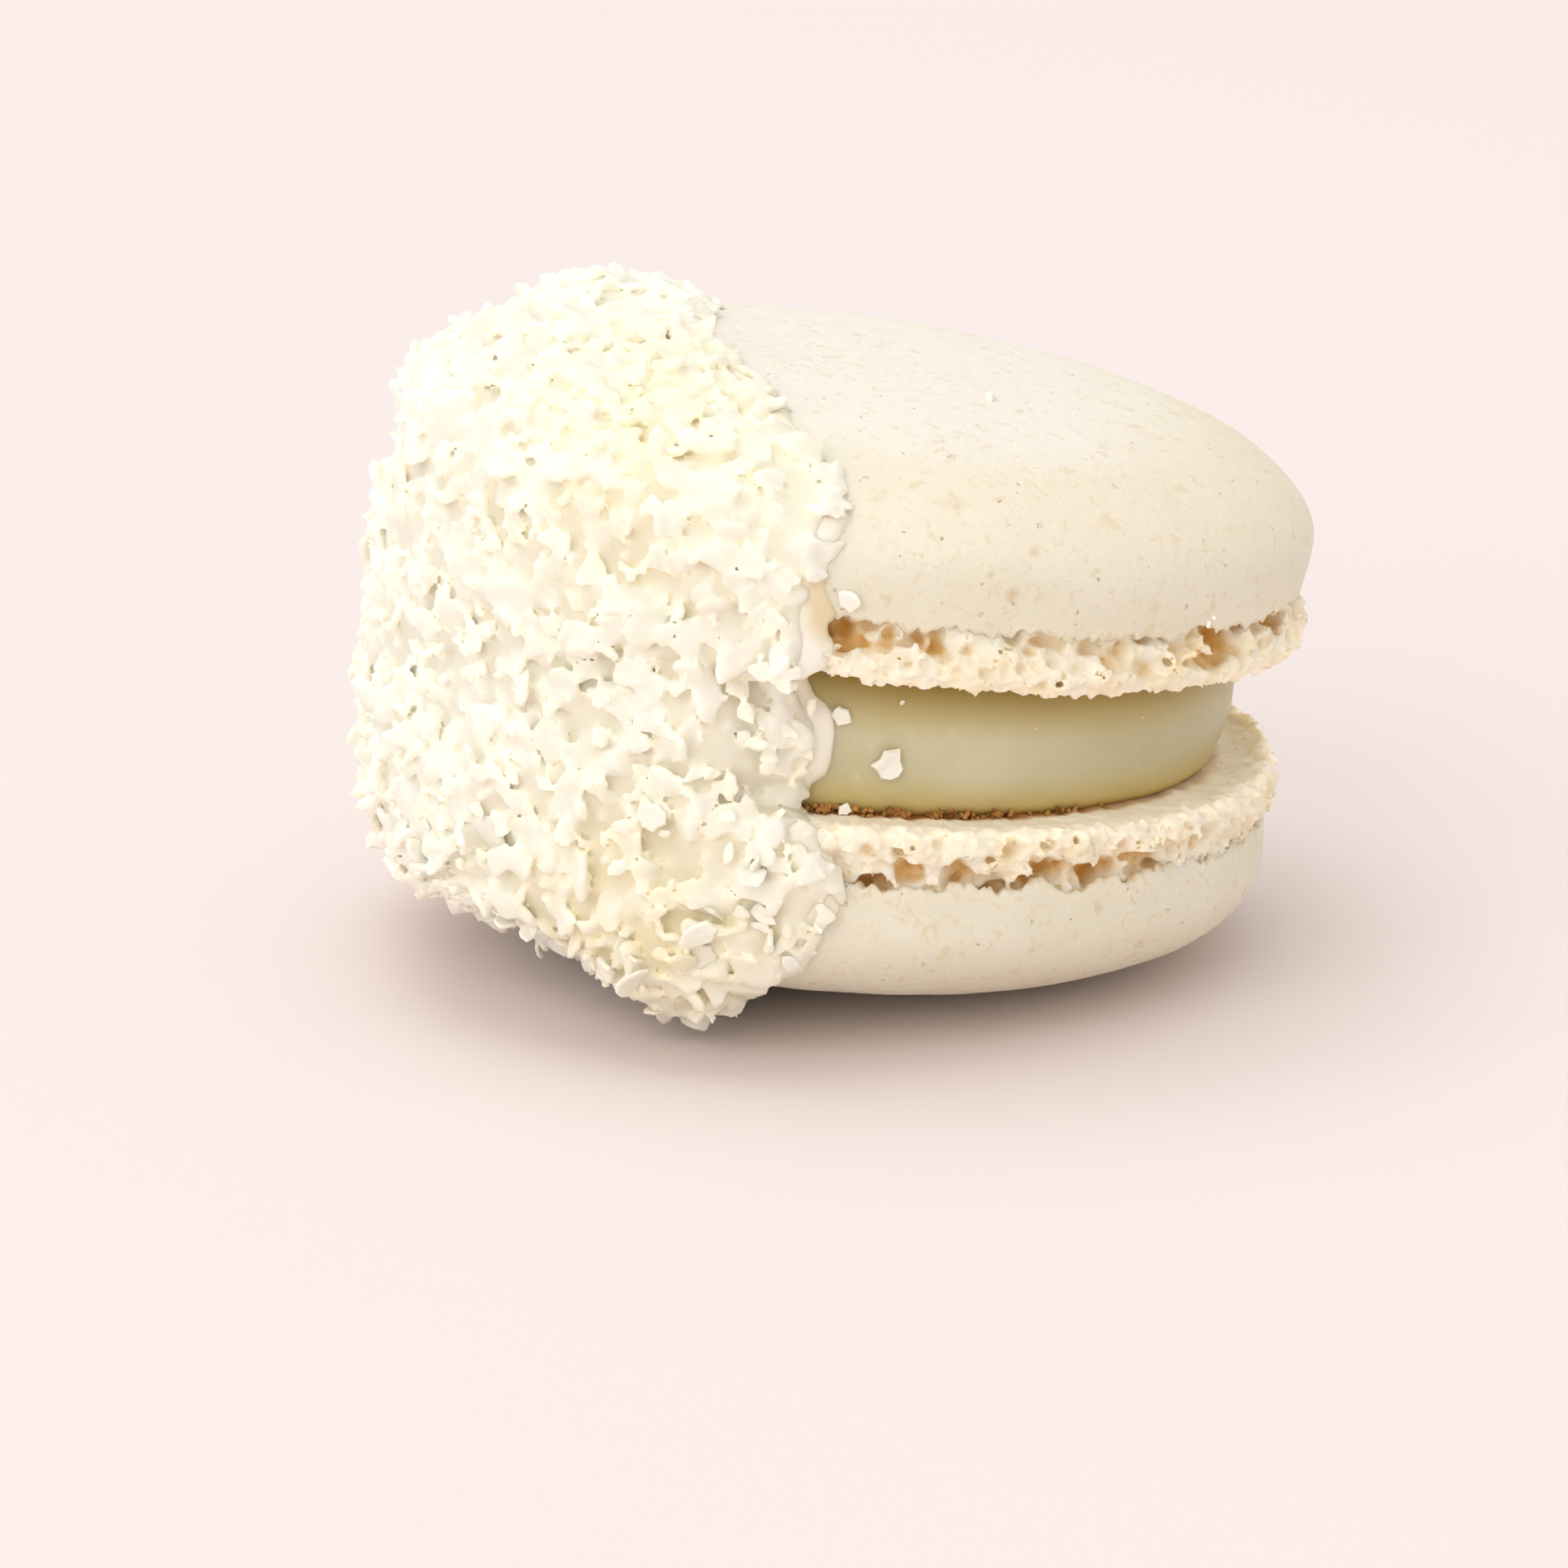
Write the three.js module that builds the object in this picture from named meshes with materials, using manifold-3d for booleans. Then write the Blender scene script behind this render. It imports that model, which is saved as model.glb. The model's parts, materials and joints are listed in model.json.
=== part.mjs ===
// A french macaron whose one end is dipped in white chocolate and rolled in coconut flakes.
// Millimetres, +Z up. The macaron leans on its coated end, and the origin is the middle of the
// flat spot that the lower shell rests on.
import * as THREE from 'three';
import { mergeVertices } from 'three/addons/utils/BufferGeometryUtils.js';
import { ImprovedNoise } from 'three/addons/math/ImprovedNoise.js';
import { MeshSurfaceSampler } from 'three/addons/math/MeshSurfaceSampler.js';
import Module from 'manifold-3d';

const wasm = await Module();
wasm.setup();

// ---- Driving dimensions ----------------------------------------------------------------------

// A shell: a smooth cap over a ruffled foot. Heights are measured from its flat base plane.
const CAP_RADIUS = 22.56;
const CAP_SQUARENESS = 2.82;
const WIDEST_LEVEL = 4.85;
const LIP_RADIUS = 22.4;
const LIP_LEVEL = 2.75;
const FOOT_RADIUS = 22.65;
const UPPER_HEIGHT = 10.75;
const LOWER_HEIGHT = 11.16;

// Where the middle of each base plane is, and how far its axis leans, in degrees. The lower
// shell's cap would reach below the table by RESTING_TRIM, which leaves its flat spot.
const RESTING_TRIM = 0.08;
const LOWER_BASE = new THREE.Vector3(-9.99, -2.7, 11.71 - RESTING_TRIM);
const UPPER_BASE = new THREE.Vector3(-8.81, -2.86, 19.5 - RESTING_TRIM);
const LOWER_LEAN = { x: -1.37, y: 5.26 };
const UPPER_LEAN = { x: -0.05, y: 8.29 };

const FILLING_RADIUS = 19.35;
const FILLING_BULGE = 0.6;

// Kept between pieces that touch.
const GAP = 0.3;

// The dip: the direction that the coated end points in, and how far from the middle of the
// lower base plane the coat begins, measured along that direction.
const DIP_HEADING = 193.4;
const DIP_RISE = 3.15;
const DIP_START = 5.75;
const COAT_THICKNESS = 0.7;
const COAT_EDGE_THICKNESS = 0.6;

// Between the shells the coat is sunk to this radius, its own thickness not counted.
const GROOVE_RADIUS = 22;

// Drips and nicks of the coat's edge: where round the macaron they are (0 faces the front,
// 90 is the top), how far they reach over the bare half, and their half width, in degrees.
const EDGE_LOBES = [
  { at: 88, reach: -2.3, width: 20 },
  { at: 26, reach: 0.9, width: 10 },
  { at: 11, reach: -1.9, width: 6 },
  { at: -3, reach: 1.4, width: 6 },
  { at: -12, reach: -0.9, width: 4 },
  { at: -19, reach: 1.3, width: 6 },
  { at: -38, reach: -2, width: 12 },
  { at: 130, reach: 1.2, width: 12 },
  { at: 160, reach: -1.1, width: 9 },
  { at: 178, reach: 1.3, width: 7 },
  { at: 205, reach: -0.8, width: 8 },
  { at: 235, reach: 1.1, width: 12 },
  { at: 262, reach: -1, width: 10 },
  { at: 290, reach: 1.2, width: 11 },
];

// Where the dipped end is drawn in from the round, and where the coat is heaped up.
const HOLLOWS = [
  { middle: new THREE.Vector3(-24.8, -15.5, 4.2), spread: 5, shift: new THREE.Vector3(0.7, 0.55, 0.85) },
  { middle: new THREE.Vector3(-22.5, -19, 3), spread: 3.5, shift: new THREE.Vector3(0.1, 0.2, 0.5) },
  { middle: new THREE.Vector3(-32.4, -6, 9.5), spread: 4.5, shift: new THREE.Vector3(0.8, 0.1, 0.15) },
  { middle: new THREE.Vector3(-32.3, -3.5, 25.3), spread: 3.5, shift: new THREE.Vector3(0.7, 0, 0) },
];
const MOUNDS = [
  { middle: new THREE.Vector3(-21.5, 6, 31), spread: 3.5, rise: 0.9 },
  { middle: new THREE.Vector3(-17.5, -21, 2.5), spread: 3.5, rise: 1.1 },
  { middle: new THREE.Vector3(-27.5, -1, 30), spread: 3, rise: 0.3 },
];

// Coconut: the largest flakes only, longest side in millimetres.
const FLAKE_COUNT = 150;
const FLAKE_LARGEST = 3.8;
const FLAKE_SMALLEST = 2.1;
const FLAKE_THICKNESS = 0.45;
const FLAKE_TILT = 25;
const FLAKE_RISE = 0.1;
const FLAKE_CORNERS = 5;
const FLAKE_SPACING = 0.62;

// Steps round a shell, in degrees: fine where the foot shows, coarse under the coat.
const BARE_FROM = -106;
const BARE_TO = 126;
const COAT_FROM = 96;
const COAT_TO = 280;
const FINE_STEP = 2.4;
const COARSE_STEP = 10;

const COLOURS = { shell: 0xf3e6d2, filling: 0xe3dfc0, coat: 0xf8f4e2 };

// ---- Small helpers ---------------------------------------------------------------------------

const radians = THREE.MathUtils.degToRad;
const perlin = new ImprovedNoise();

// Smooth noise of about -1 to 1, with bumps of the given size in millimetres.
function noise(point, size, seed) {
  return perlin.noise(point.x / size + seed, point.y / size - 2 * seed, point.z / size + 3 * seed);
}

function seededRandom(seed) {
  let state = seed;
  return () => {
    state = (state * 1664525 + 1013904223) % 4294967296;
    return state / 4294967296;
  };
}

function placedAt(base, lean) {
  const turn = new THREE.Euler(radians(lean.x), radians(lean.y), 0, 'YXZ');
  return new THREE.Matrix4().makeRotationFromEuler(turn).setPosition(base);
}

const LOWER_PLACE = placedAt(LOWER_BASE, LOWER_LEAN);
const UPPER_PLACE = placedAt(UPPER_BASE, UPPER_LEAN);

// 1 at the middle of a hollow or mound, fading over its spread.
function nearness(point, { middle, spread }) {
  return Math.exp(-point.distanceToSquared(middle) / spread ** 2);
}

// A point at a radius and an angle (in degrees) round a shell's axis, at a height above its base,
// moved by the hollows.
function roundAxis(place, radius, angle, height) {
  const turn = radians(angle);
  const local = new THREE.Vector3(radius * Math.cos(turn), radius * Math.sin(turn), height);
  const round = local.applyMatrix4(place);
  const point = round.clone();
  HOLLOWS.forEach((hollow) => point.addScaledVector(hollow.shift, nearness(round, hollow)));
  return point;
}

function steps(from, to, step) {
  const count = Math.round((to - from) / step);
  return Array.from({ length: count }, (_, k) => from + ((to - from) * k) / count);
}

// One full turn in two stretches of steps, listed from BARE_FROM on so that rings match up.
function fullTurn(from, to, step, stepBeyond) {
  const fromBare = (angle) => THREE.MathUtils.euclideanModulo(angle - BARE_FROM, 360);
  const angles = [...steps(from, to, step), ...steps(to, from + 360, stepBeyond)];
  return angles.map((angle) => BARE_FROM + fromBare(angle)).sort((a, b) => a - b);
}

const FINE_ANGLES = fullTurn(BARE_FROM, BARE_TO, FINE_STEP, COARSE_STEP);
const COAT_ANGLES = fullTurn(COAT_FROM, COAT_TO, COARSE_STEP, 2 * COARSE_STEP);

// 1 where the foot shows, fading to 0 under the coat.
function bareness(angle) {
  const across = THREE.MathUtils.euclideanModulo(angle - BARE_FROM, 360);
  const inside = Math.min(across, BARE_TO - BARE_FROM - across);
  return THREE.MathUtils.smoothstep(inside, 0, 12);
}

// ---- Closed solids from rings ----------------------------------------------------------------

function ring(angles, pointAt) {
  return { angles, points: angles.map(pointAt) };
}

// Triangles between two rings, the first below the second. Their counts may differ.
function stitch(triangles, below, above) {
  const turn = (list, k) => (k < list.angles.length ? list.angles[k] : list.angles[0] + 360);
  const id = (list, k) => list.first + (k % list.angles.length);
  let i = 0;
  let j = 0;
  while (i < below.angles.length || j < above.angles.length) {
    const nextBelow = i < below.angles.length ? turn(below, i + 1) : Infinity;
    const nextAbove = j < above.angles.length ? turn(above, j + 1) : Infinity;
    if (nextBelow <= nextAbove) {
      triangles.push(id(below, i), id(below, i + 1), id(above, j));
      i += 1;
    } else {
      triangles.push(id(below, i), id(above, j + 1), id(above, j));
      j += 1;
    }
  }
}

// A closed solid through rings from the bottom up, ending in a middle point at each end.
function solidThrough(bottom, rings, top) {
  const points = [bottom, top];
  for (const each of rings) {
    each.first = points.length;
    points.push(...each.points);
  }
  const triangles = [];
  const lowest = rings[0];
  const highest = rings.at(-1);
  lowest.points.forEach((_, k) => {
    triangles.push(0, lowest.first + ((k + 1) % lowest.points.length), lowest.first + k);
  });
  for (let k = 1; k < rings.length; k += 1) {
    stitch(triangles, rings[k - 1], rings[k]);
  }
  highest.points.forEach((_, k) => {
    triangles.push(1, highest.first + k, highest.first + ((k + 1) % highest.points.length));
  });
  const geometry = new THREE.BufferGeometry().setFromPoints(points);
  geometry.setIndex(triangles);
  return toSolid(geometry);
}

function welded(geometry) {
  geometry.deleteAttribute('normal');
  geometry.deleteAttribute('uv');
  return mergeVertices(geometry);
}

function toSolid(geometry) {
  return new wasm.Manifold(new wasm.Mesh({
    numProp: 3,
    vertProperties: Float32Array.from(geometry.getAttribute('position').array),
    triVerts: Uint32Array.from(geometry.getIndex().array),
  }));
}

function toGeometry(solid) {
  const { vertProperties, triVerts } = solid.getMesh();
  const geometry = new THREE.BufferGeometry();
  geometry.setAttribute('position', new THREE.BufferAttribute(vertProperties, 3));
  geometry.setIndex(new THREE.BufferAttribute(triVerts, 1));
  return geometry;
}

// The largest closed surface of a geometry: loose scraps go, and sealed hollows are filled.
function largestBody(geometry) {
  const corners = Array.from(geometry.getIndex().array);
  const leads = Array.from({ length: geometry.getAttribute('position').count }, (_, k) => k);
  const lead = (k) => {
    let top = k;
    while (leads[top] !== top) {
      top = leads[top];
    }
    leads[k] = top;
    return top;
  };
  for (let k = 0; k < corners.length; k += 3) {
    leads[lead(corners[k + 1])] = lead(corners[k]);
    leads[lead(corners[k + 2])] = lead(corners[k]);
  }
  const sizes = new Map();
  corners.forEach((corner) => sizes.set(lead(corner), (sizes.get(lead(corner)) ?? 0) + 1));
  const [largest] = [...sizes.entries()].reduce((a, b) => (a[1] >= b[1] ? a : b));
  const body = geometry.clone();
  body.setIndex(corners.filter((corner) => lead(corner) === largest));
  return body;
}

// ---- Shells ----------------------------------------------------------------------------------

const CAP_ARC = [0, 18, 36, 52, 66, 78, 86];

// Radius and height of the cap, from its widest level (0 degrees) to near its middle (90).
function capOutline(height, arc, grow) {
  const turn = radians(arc);
  return {
    radius: CAP_RADIUS * Math.cos(turn) ** (2 / CAP_SQUARENESS) + grow * Math.cos(turn),
    level: WIDEST_LEVEL + (height + grow - WIDEST_LEVEL) * Math.sin(turn),
  };
}

// The foot's rings: lumps stand out and pockets go in, deepest right under the cap's lip.
const FOOT_RINGS = [
  { level: 0, inset: 0.15, lumps: 0.45, pockets: 0, wave: 0.12 },
  { level: 0.5, inset: -0.1, lumps: 0.55, pockets: 0.25, wave: 0.1 },
  { level: 1.15, inset: 0.05, lumps: 0.6, pockets: 0.9, wave: 0.12 },
  { level: 1.75, inset: 0.6, lumps: 0.5, pockets: 1.6, wave: 0.12 },
  { level: 2.2, inset: 1.1, lumps: 0.3, pockets: 1.5, wave: 0.1 },
];
const LIP_TEETH = 0.4;

// side is 1 for a shell whose cap points up and -1 for one that points down. curl lifts the
// foot's thin edge past the base plane.
function shell({ place, side, height, seed, curl }) {
  const at = (radius, angle, level) => roundAxis(place, radius, angle, side * level);
  const footRing = ({ level, inset, lumps, pockets, wave }) => ring(FINE_ANGLES, (angle) => {
    const spot = at(FOOT_RADIUS, angle, level);
    const show = bareness(angle);
    const lump = lumps * noise(spot, 1.7, seed);
    const pocket = pockets * THREE.MathUtils.smoothstep(noise(spot, 2.1, seed + 5), -0.1, 0.4);
    const lift = wave * noise(spot, 1.3, seed + 9) + (level === 0 ? -curl(angle) : 0);
    return at(FOOT_RADIUS - inset + show * (lump - pocket), angle, level + show * lift);
  });
  const lipRing = (inset, level) => ring(FINE_ANGLES, (angle) => {
    const tooth = bareness(angle) * LIP_TEETH * noise(at(LIP_RADIUS, angle, LIP_LEVEL), 1.5, seed + 3);
    return at(LIP_RADIUS - inset + 0.3 * tooth, angle, level + tooth);
  });
  const capRing = (arc) => {
    const { radius, level } = capOutline(height, arc, 0);
    const angles = FINE_ANGLES.filter((_, k) => k % (arc > 40 ? 4 : 2) === 0);
    return ring(angles, (angle) => {
      const swell = 0.12 * noise(at(radius, angle, level), 9, seed);
      return at(radius + swell, angle, level + swell);
    });
  };
  const rings = [
    ring(COAT_ANGLES, (angle) => at(FILLING_RADIUS + 1, angle, 0)),
    ...FOOT_RINGS.map(footRing),
    lipRing(0.5, LIP_LEVEL - 0.35),
    lipRing(0, LIP_LEVEL),
    ...CAP_ARC.map(capRing),
  ];
  const middle = at(0, 0, 0);
  const apex = at(0, 0, height);
  return side > 0 ? solidThrough(middle, rings, apex) : solidThrough(apex, rings.reverse(), middle);
}

// A plain shell grown on every side, for the room that the coat leaves and for the coat itself.
function grownShell({ place, side, height }, growAt) {
  const at = (radius, angle, level) => roundAxis(place, radius, angle, side * level);
  const grownRing = (radius, level, outward, upward) => ring(COAT_ANGLES, (angle) => {
    const grow = growAt(at(radius, angle, level));
    return at(radius + outward * grow, angle, level + upward * grow);
  });
  const footReach = FOOT_RADIUS + 0.35;
  const rings = [
    grownRing(footReach - 0.3, 0, 0.9, -1),
    grownRing(footReach, 0.6, 1, 0),
    grownRing(footReach, WIDEST_LEVEL, 1, 0),
  ];
  for (const arc of CAP_ARC.slice(1)) {
    const { radius, level } = capOutline(height, arc, 0);
    rings.push(grownRing(radius, level, Math.cos(radians(arc)), Math.sin(radians(arc))));
  }
  const middle = at(0, 0, -growAt(at(0, 0, 0)));
  const apex = at(0, 0, height + growAt(at(0, 0, height)));
  return side > 0 ? solidThrough(middle, rings, apex) : solidThrough(apex, rings.reverse(), middle);
}

// ---- Filling ---------------------------------------------------------------------------------

const FILLING_LEVELS = [0, 0.12, 0.35, 0.65, 0.9, 1];

// The space between the two base planes, drawn in by inset at both and of the given radius.
function betweenShells(inset, radiusAt) {
  const rings = FILLING_LEVELS.map((level) => ring(steps(0, 360, 7.5), (angle) => {
    const radius = radiusAt(angle, level);
    const low = roundAxis(LOWER_PLACE, radius, angle, inset);
    const high = roundAxis(UPPER_PLACE, radius, angle, -inset);
    return low.lerp(high, level);
  }));
  return solidThrough(roundAxis(LOWER_PLACE, 0, 0, inset), rings, roundAxis(UPPER_PLACE, 0, 0, -inset));
}

function fillingRadius(angle, level) {
  const spot = roundAxis(LOWER_PLACE, FILLING_RADIUS, angle, 8 * level);
  const tuck = level === 0 || level === 1 ? 0.25 : 0;
  return FILLING_RADIUS + FILLING_BULGE * Math.sin(Math.PI * level) - tuck + 0.12 * noise(spot, 7, 4);
}

// ---- Coat of white chocolate -----------------------------------------------------------------

const dipAxis = new THREE.Vector3().setFromSphericalCoords(
  1, Math.PI / 2 - radians(DIP_RISE), radians(DIP_HEADING),
).applyMatrix4(new THREE.Matrix4().set(0, 0, 1, 0, 1, 0, 0, 0, 0, 1, 0, 0, 0, 0, 0, 1));
const dipFront = new THREE.Vector3(0, 0, 1).cross(dipAxis).normalize();
const dipTop = new THREE.Vector3().crossVectors(dipFront, dipAxis).negate();
const dipMiddle = LOWER_BASE.clone().lerp(UPPER_BASE, 0.7).addScaledVector(dipAxis, DIP_START);

// How far the coat's edge reaches over the bare half beyond its mean line.
function edgeReach(front, top) {
  const angle = THREE.MathUtils.radToDeg(Math.atan2(top, front));
  const fade = Math.min(1, Math.hypot(front, top) / 8);
  const lobes = EDGE_LOBES.map(({ at, reach, width }) => {
    const away = THREE.MathUtils.euclideanModulo(angle - at + 180, 360) - 180;
    return reach * Math.exp(-((away / width) ** 2));
  });
  return fade * lobes.reduce((sum, lobe) => sum + lobe, 0);
}

// Depth of a point inside the coated end, negative over the bare half.
function dipDepth(point) {
  const from = point.clone().sub(dipMiddle);
  return from.dot(dipAxis) + edgeReach(from.dot(dipFront), from.dot(dipTop));
}

// The half space that was dipped: a block whose near face follows the coat's edge.
function dippedSpace() {
  const reach = 34;
  const cells = 28;
  const block = new THREE.BoxGeometry(2 * reach, 2 * reach, 2 * reach, cells, cells, 1);
  const axes = new THREE.Matrix4().makeBasis(dipFront, dipTop, dipAxis.clone()).setPosition(dipMiddle);
  const corners = block.getAttribute('position');
  const corner = new THREE.Vector3();
  for (let k = 0; k < corners.count; k += 1) {
    corner.fromBufferAttribute(corners, k);
    corner.z = corner.z < 0 ? -edgeReach(corner.x, corner.y) : 2 * reach;
    corner.applyMatrix4(axes);
    corners.setXYZ(k, corner.x, corner.y, corner.z);
  }
  return toSolid(welded(block));
}

function coatGrowth(point) {
  const inside = THREE.MathUtils.smoothstep(dipDepth(point), -1, 4);
  const lumps = 0.35 * noise(point, 3.1, 6) + 0.3 * noise(point, 7, 2);
  const heap = MOUNDS.reduce((sum, mound) => sum + mound.rise * nearness(point, mound), 0);
  return GAP + THREE.MathUtils.lerp(COAT_EDGE_THICKNESS, COAT_THICKNESS, inside) + inside * (lumps + heap);
}

// Between the shells the coat hugs the filling at its edge and nearly fills the groove further in.
function coatRadiusBetween(angle, level) {
  const spot = roundAxis(LOWER_PLACE, FOOT_RADIUS, angle, 8 * level);
  const hug = FILLING_RADIUS + FILLING_BULGE + GAP + COAT_EDGE_THICKNESS;
  const full = GROOVE_RADIUS + coatGrowth(spot);
  return THREE.MathUtils.lerp(hug, full, THREE.MathUtils.smoothstep(dipDepth(spot), 0.5, 6));
}

// ---- Coconut flakes --------------------------------------------------------------------------

// A thin chip with an uneven outline of five corners, its faces along Z.
function flakeGeometry(size, thickness, random) {
  const narrow = 0.45 + 0.4 * random();
  const outline = new THREE.Shape(Array.from({ length: FLAKE_CORNERS }, (_, k) => {
    const angle = (2 * Math.PI * (k + 0.5 * random())) / FLAKE_CORNERS;
    const reach = 0.5 * size * (0.75 + 0.25 * random());
    return new THREE.Vector2(reach * Math.cos(angle), narrow * reach * Math.sin(angle));
  }));
  const chip = new THREE.ExtrudeGeometry(outline, { depth: thickness, bevelEnabled: false });
  return welded(chip.translate(0, 0, -thickness / 2));
}

// A flake on a surface: spun, tipped up by tilt degrees and with its middle lifted by rise.
function placedFlake({ point, normal, size, thickness, tilt, rise, random }) {
  const outward = new THREE.Quaternion().setFromUnitVectors(new THREE.Vector3(0, 0, 1), normal);
  const spin = new THREE.Quaternion().setFromAxisAngle(normal, 2 * Math.PI * random());
  const tip = new THREE.Quaternion().setFromAxisAngle(new THREE.Vector3(0, 1, 0), radians(tilt));
  const turn = spin.multiply(outward).multiply(tip);
  const geometry = flakeGeometry(size, thickness, random);
  geometry.applyQuaternion(turn);
  const middle = point.clone().addScaledVector(normal, rise);
  geometry.translate(middle.x, middle.y, middle.z);
  return toSolid(geometry);
}

// The largest flakes come first, and each keeps its distance from those before it.
function flakesOver(surface) {
  const random = seededRandom(20);
  const sampler = new MeshSurfaceSampler(new THREE.Mesh(surface)).setRandomGenerator(random).build();
  const point = new THREE.Vector3();
  const normal = new THREE.Vector3();
  const placed = [];
  for (let tries = 0; placed.length < FLAKE_COUNT && tries < 60 * FLAKE_COUNT; tries += 1) {
    const size = THREE.MathUtils.lerp(FLAKE_LARGEST, FLAKE_SMALLEST, placed.length / FLAKE_COUNT);
    sampler.sample(point, normal);
    const onCoat = dipDepth(point) > 0.35 * size && point.z > 0.2;
    const apart = (other) => 0.5 * FLAKE_SPACING * (size + other.size);
    const clear = placed.every((other) => other.point.distanceTo(point) > apart(other));
    if (onCoat && clear) {
      placed.push({
        point: point.clone(),
        normal: normal.clone(),
        size,
        thickness: FLAKE_THICKNESS,
        tilt: FLAKE_TILT * random(),
        rise: FLAKE_RISE,
        random,
      });
    }
  }
  return placed.map(placedFlake);
}

// ---- The pieces ------------------------------------------------------------------------------

const aboveTable = toSolid(welded(new THREE.BoxGeometry(120, 120, 60).translate(0, 0, 30)));

const lower = { place: LOWER_PLACE, side: -1, height: LOWER_HEIGHT, seed: 3.7 };
const upper = { place: UPPER_PLACE, side: 1, height: UPPER_HEIGHT, seed: 8.2 };

// The lower foot curls up on the side away from the coat.
lower.curl = (angle) => 0.75 * Math.exp(-(((angle - 18) / 24) ** 2)) + 0.1;
upper.curl = () => 0.12;

function chipOn(place, radius, angle, level, size, tilt) {
  const point = roundAxis(place, radius, angle, level);
  const normal = point.clone().sub(roundAxis(place, 0, angle, level - (radius < 12 ? 20 : 0))).normalize();
  return placedFlake({ point, normal, size, thickness: 0.5, tilt, rise: 0.1, random: seededRandom(7) });
}

const lowerShell = shell(lower).intersect(aboveTable);
const upperShell = shell(upper).add(chipOn(UPPER_PLACE, 9.3, -44, 9.9, 1.5, 10));
const filling = betweenShells(GAP, fillingRadius)
  .add(chipOn(LOWER_PLACE, 19.9, -82, 3.2, 1.8, 20))
  .add(chipOn(LOWER_PLACE, 19.9, -89, 5.4, 1.4, 60));

function coating() {
  const body = grownShell(lower, coatGrowth)
    .add(grownShell(upper, coatGrowth))
    .add(betweenShells(0, coatRadiusBetween))
    .intersect(dippedSpace());
  const macaron = grownShell(lower, () => GAP)
    .add(grownShell(upper, () => GAP))
    .add(betweenShells(0, (angle, level) => fillingRadius(angle, level) + GAP + 0.25));
  const flakes = flakesOver(toGeometry(body));
  const rough = flakes.reduce((sum, flake) => sum.add(flake), body);
  return rough.subtract(macaron).intersect(aboveTable);
}

function piece(name, solid, color, roughness) {
  const material = new THREE.MeshStandardMaterial({ color, roughness, metalness: 0 });
  const mesh = new THREE.Mesh(largestBody(toGeometry(solid)), material);
  mesh.name = name;
  return mesh;
}

const macaron = new THREE.Group();
macaron.add(piece('lower_shell', lowerShell, COLOURS.shell, 0.8));
macaron.add(piece('upper_shell', upperShell, COLOURS.shell, 0.8));
macaron.add(piece('filling', filling, COLOURS.filling, 0.35));
macaron.add(piece('coating', coating(), COLOURS.coat, 0.5));

export default macaron;
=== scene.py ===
"""A french macaron, one end dipped in white chocolate and rolled in coconut, on a plain pale floor.

Lengths are millimetres until mesh_piece() turns them into metres, but the floor's and the lights' are metres.
"""
import json
import math

import bpy
import numpy as np
from mathutils import Matrix, Vector

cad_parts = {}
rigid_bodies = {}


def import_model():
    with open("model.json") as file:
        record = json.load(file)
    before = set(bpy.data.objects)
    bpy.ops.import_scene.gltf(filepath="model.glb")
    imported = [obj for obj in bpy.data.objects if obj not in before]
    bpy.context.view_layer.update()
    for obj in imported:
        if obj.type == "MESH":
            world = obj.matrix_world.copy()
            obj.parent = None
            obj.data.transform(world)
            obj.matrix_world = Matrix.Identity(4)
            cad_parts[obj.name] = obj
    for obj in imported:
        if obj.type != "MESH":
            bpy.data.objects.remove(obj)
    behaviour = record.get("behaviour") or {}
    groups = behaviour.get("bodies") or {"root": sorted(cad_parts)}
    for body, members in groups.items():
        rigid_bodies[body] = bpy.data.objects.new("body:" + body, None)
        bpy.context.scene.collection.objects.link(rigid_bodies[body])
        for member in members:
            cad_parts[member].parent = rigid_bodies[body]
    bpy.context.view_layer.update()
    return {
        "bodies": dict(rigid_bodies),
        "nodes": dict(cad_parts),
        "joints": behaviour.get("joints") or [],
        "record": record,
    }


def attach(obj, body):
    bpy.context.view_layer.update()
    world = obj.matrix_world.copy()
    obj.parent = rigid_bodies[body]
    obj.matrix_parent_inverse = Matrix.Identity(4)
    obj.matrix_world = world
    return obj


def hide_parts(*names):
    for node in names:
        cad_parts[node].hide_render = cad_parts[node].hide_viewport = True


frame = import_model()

MM = 0.001

# ---- Sizes ----

# The shells and the filling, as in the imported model.
CAP_RADIUS = 22.56
CAP_SQUARENESS = 2.82
WIDEST_LEVEL = 4.85
LIP_RADIUS = 22.4
LIP_LEVEL = 2.75
FOOT_RADIUS = 22.65
FILLING_RADIUS = 19.35
FILLING_BULGE = 0.6

# The dip's axis (degrees round Z from +X, and up from level), and how far along it the coat starts.
DIP_HEADING = 193.4
DIP_RISE = 3.15
DIP_START = 5.75

# The coat without its coconut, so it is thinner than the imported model's: how thick it is, how far
# it reaches into what it covers, and how far out it stays where it spans the filling.
COAT_THICKNESS = 0.5
COAT_DEPTH = 0.4
GROOVE_RADIUS = 22.5

# Where the coat's edge runs on or stays back: degrees round the dip's axis, how far, half width.
EDGE_LOBES = [
    (88, -1.8, 20), (60, -0.9, 12), (42, -0.5, 9), (27, 0.4, 6), (17, -0.8, 5), (10, -0.45, 5),
    (4.5, -0.9, 3), (-3, 0.6, 5), (-8.5, 0.4, 4), (-14, -0.8, 3), (-20.5, 0.8, 4), (-28, 0.2, 6),
    (-38, -1.6, 12), (130, 1.2, 12), (160, -1.1, 9), (178, 1.3, 7), (205, -0.8, 8), (235, 1.1, 12),
    (262, -1.0, 10), (290, 1.2, 11),
]

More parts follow.
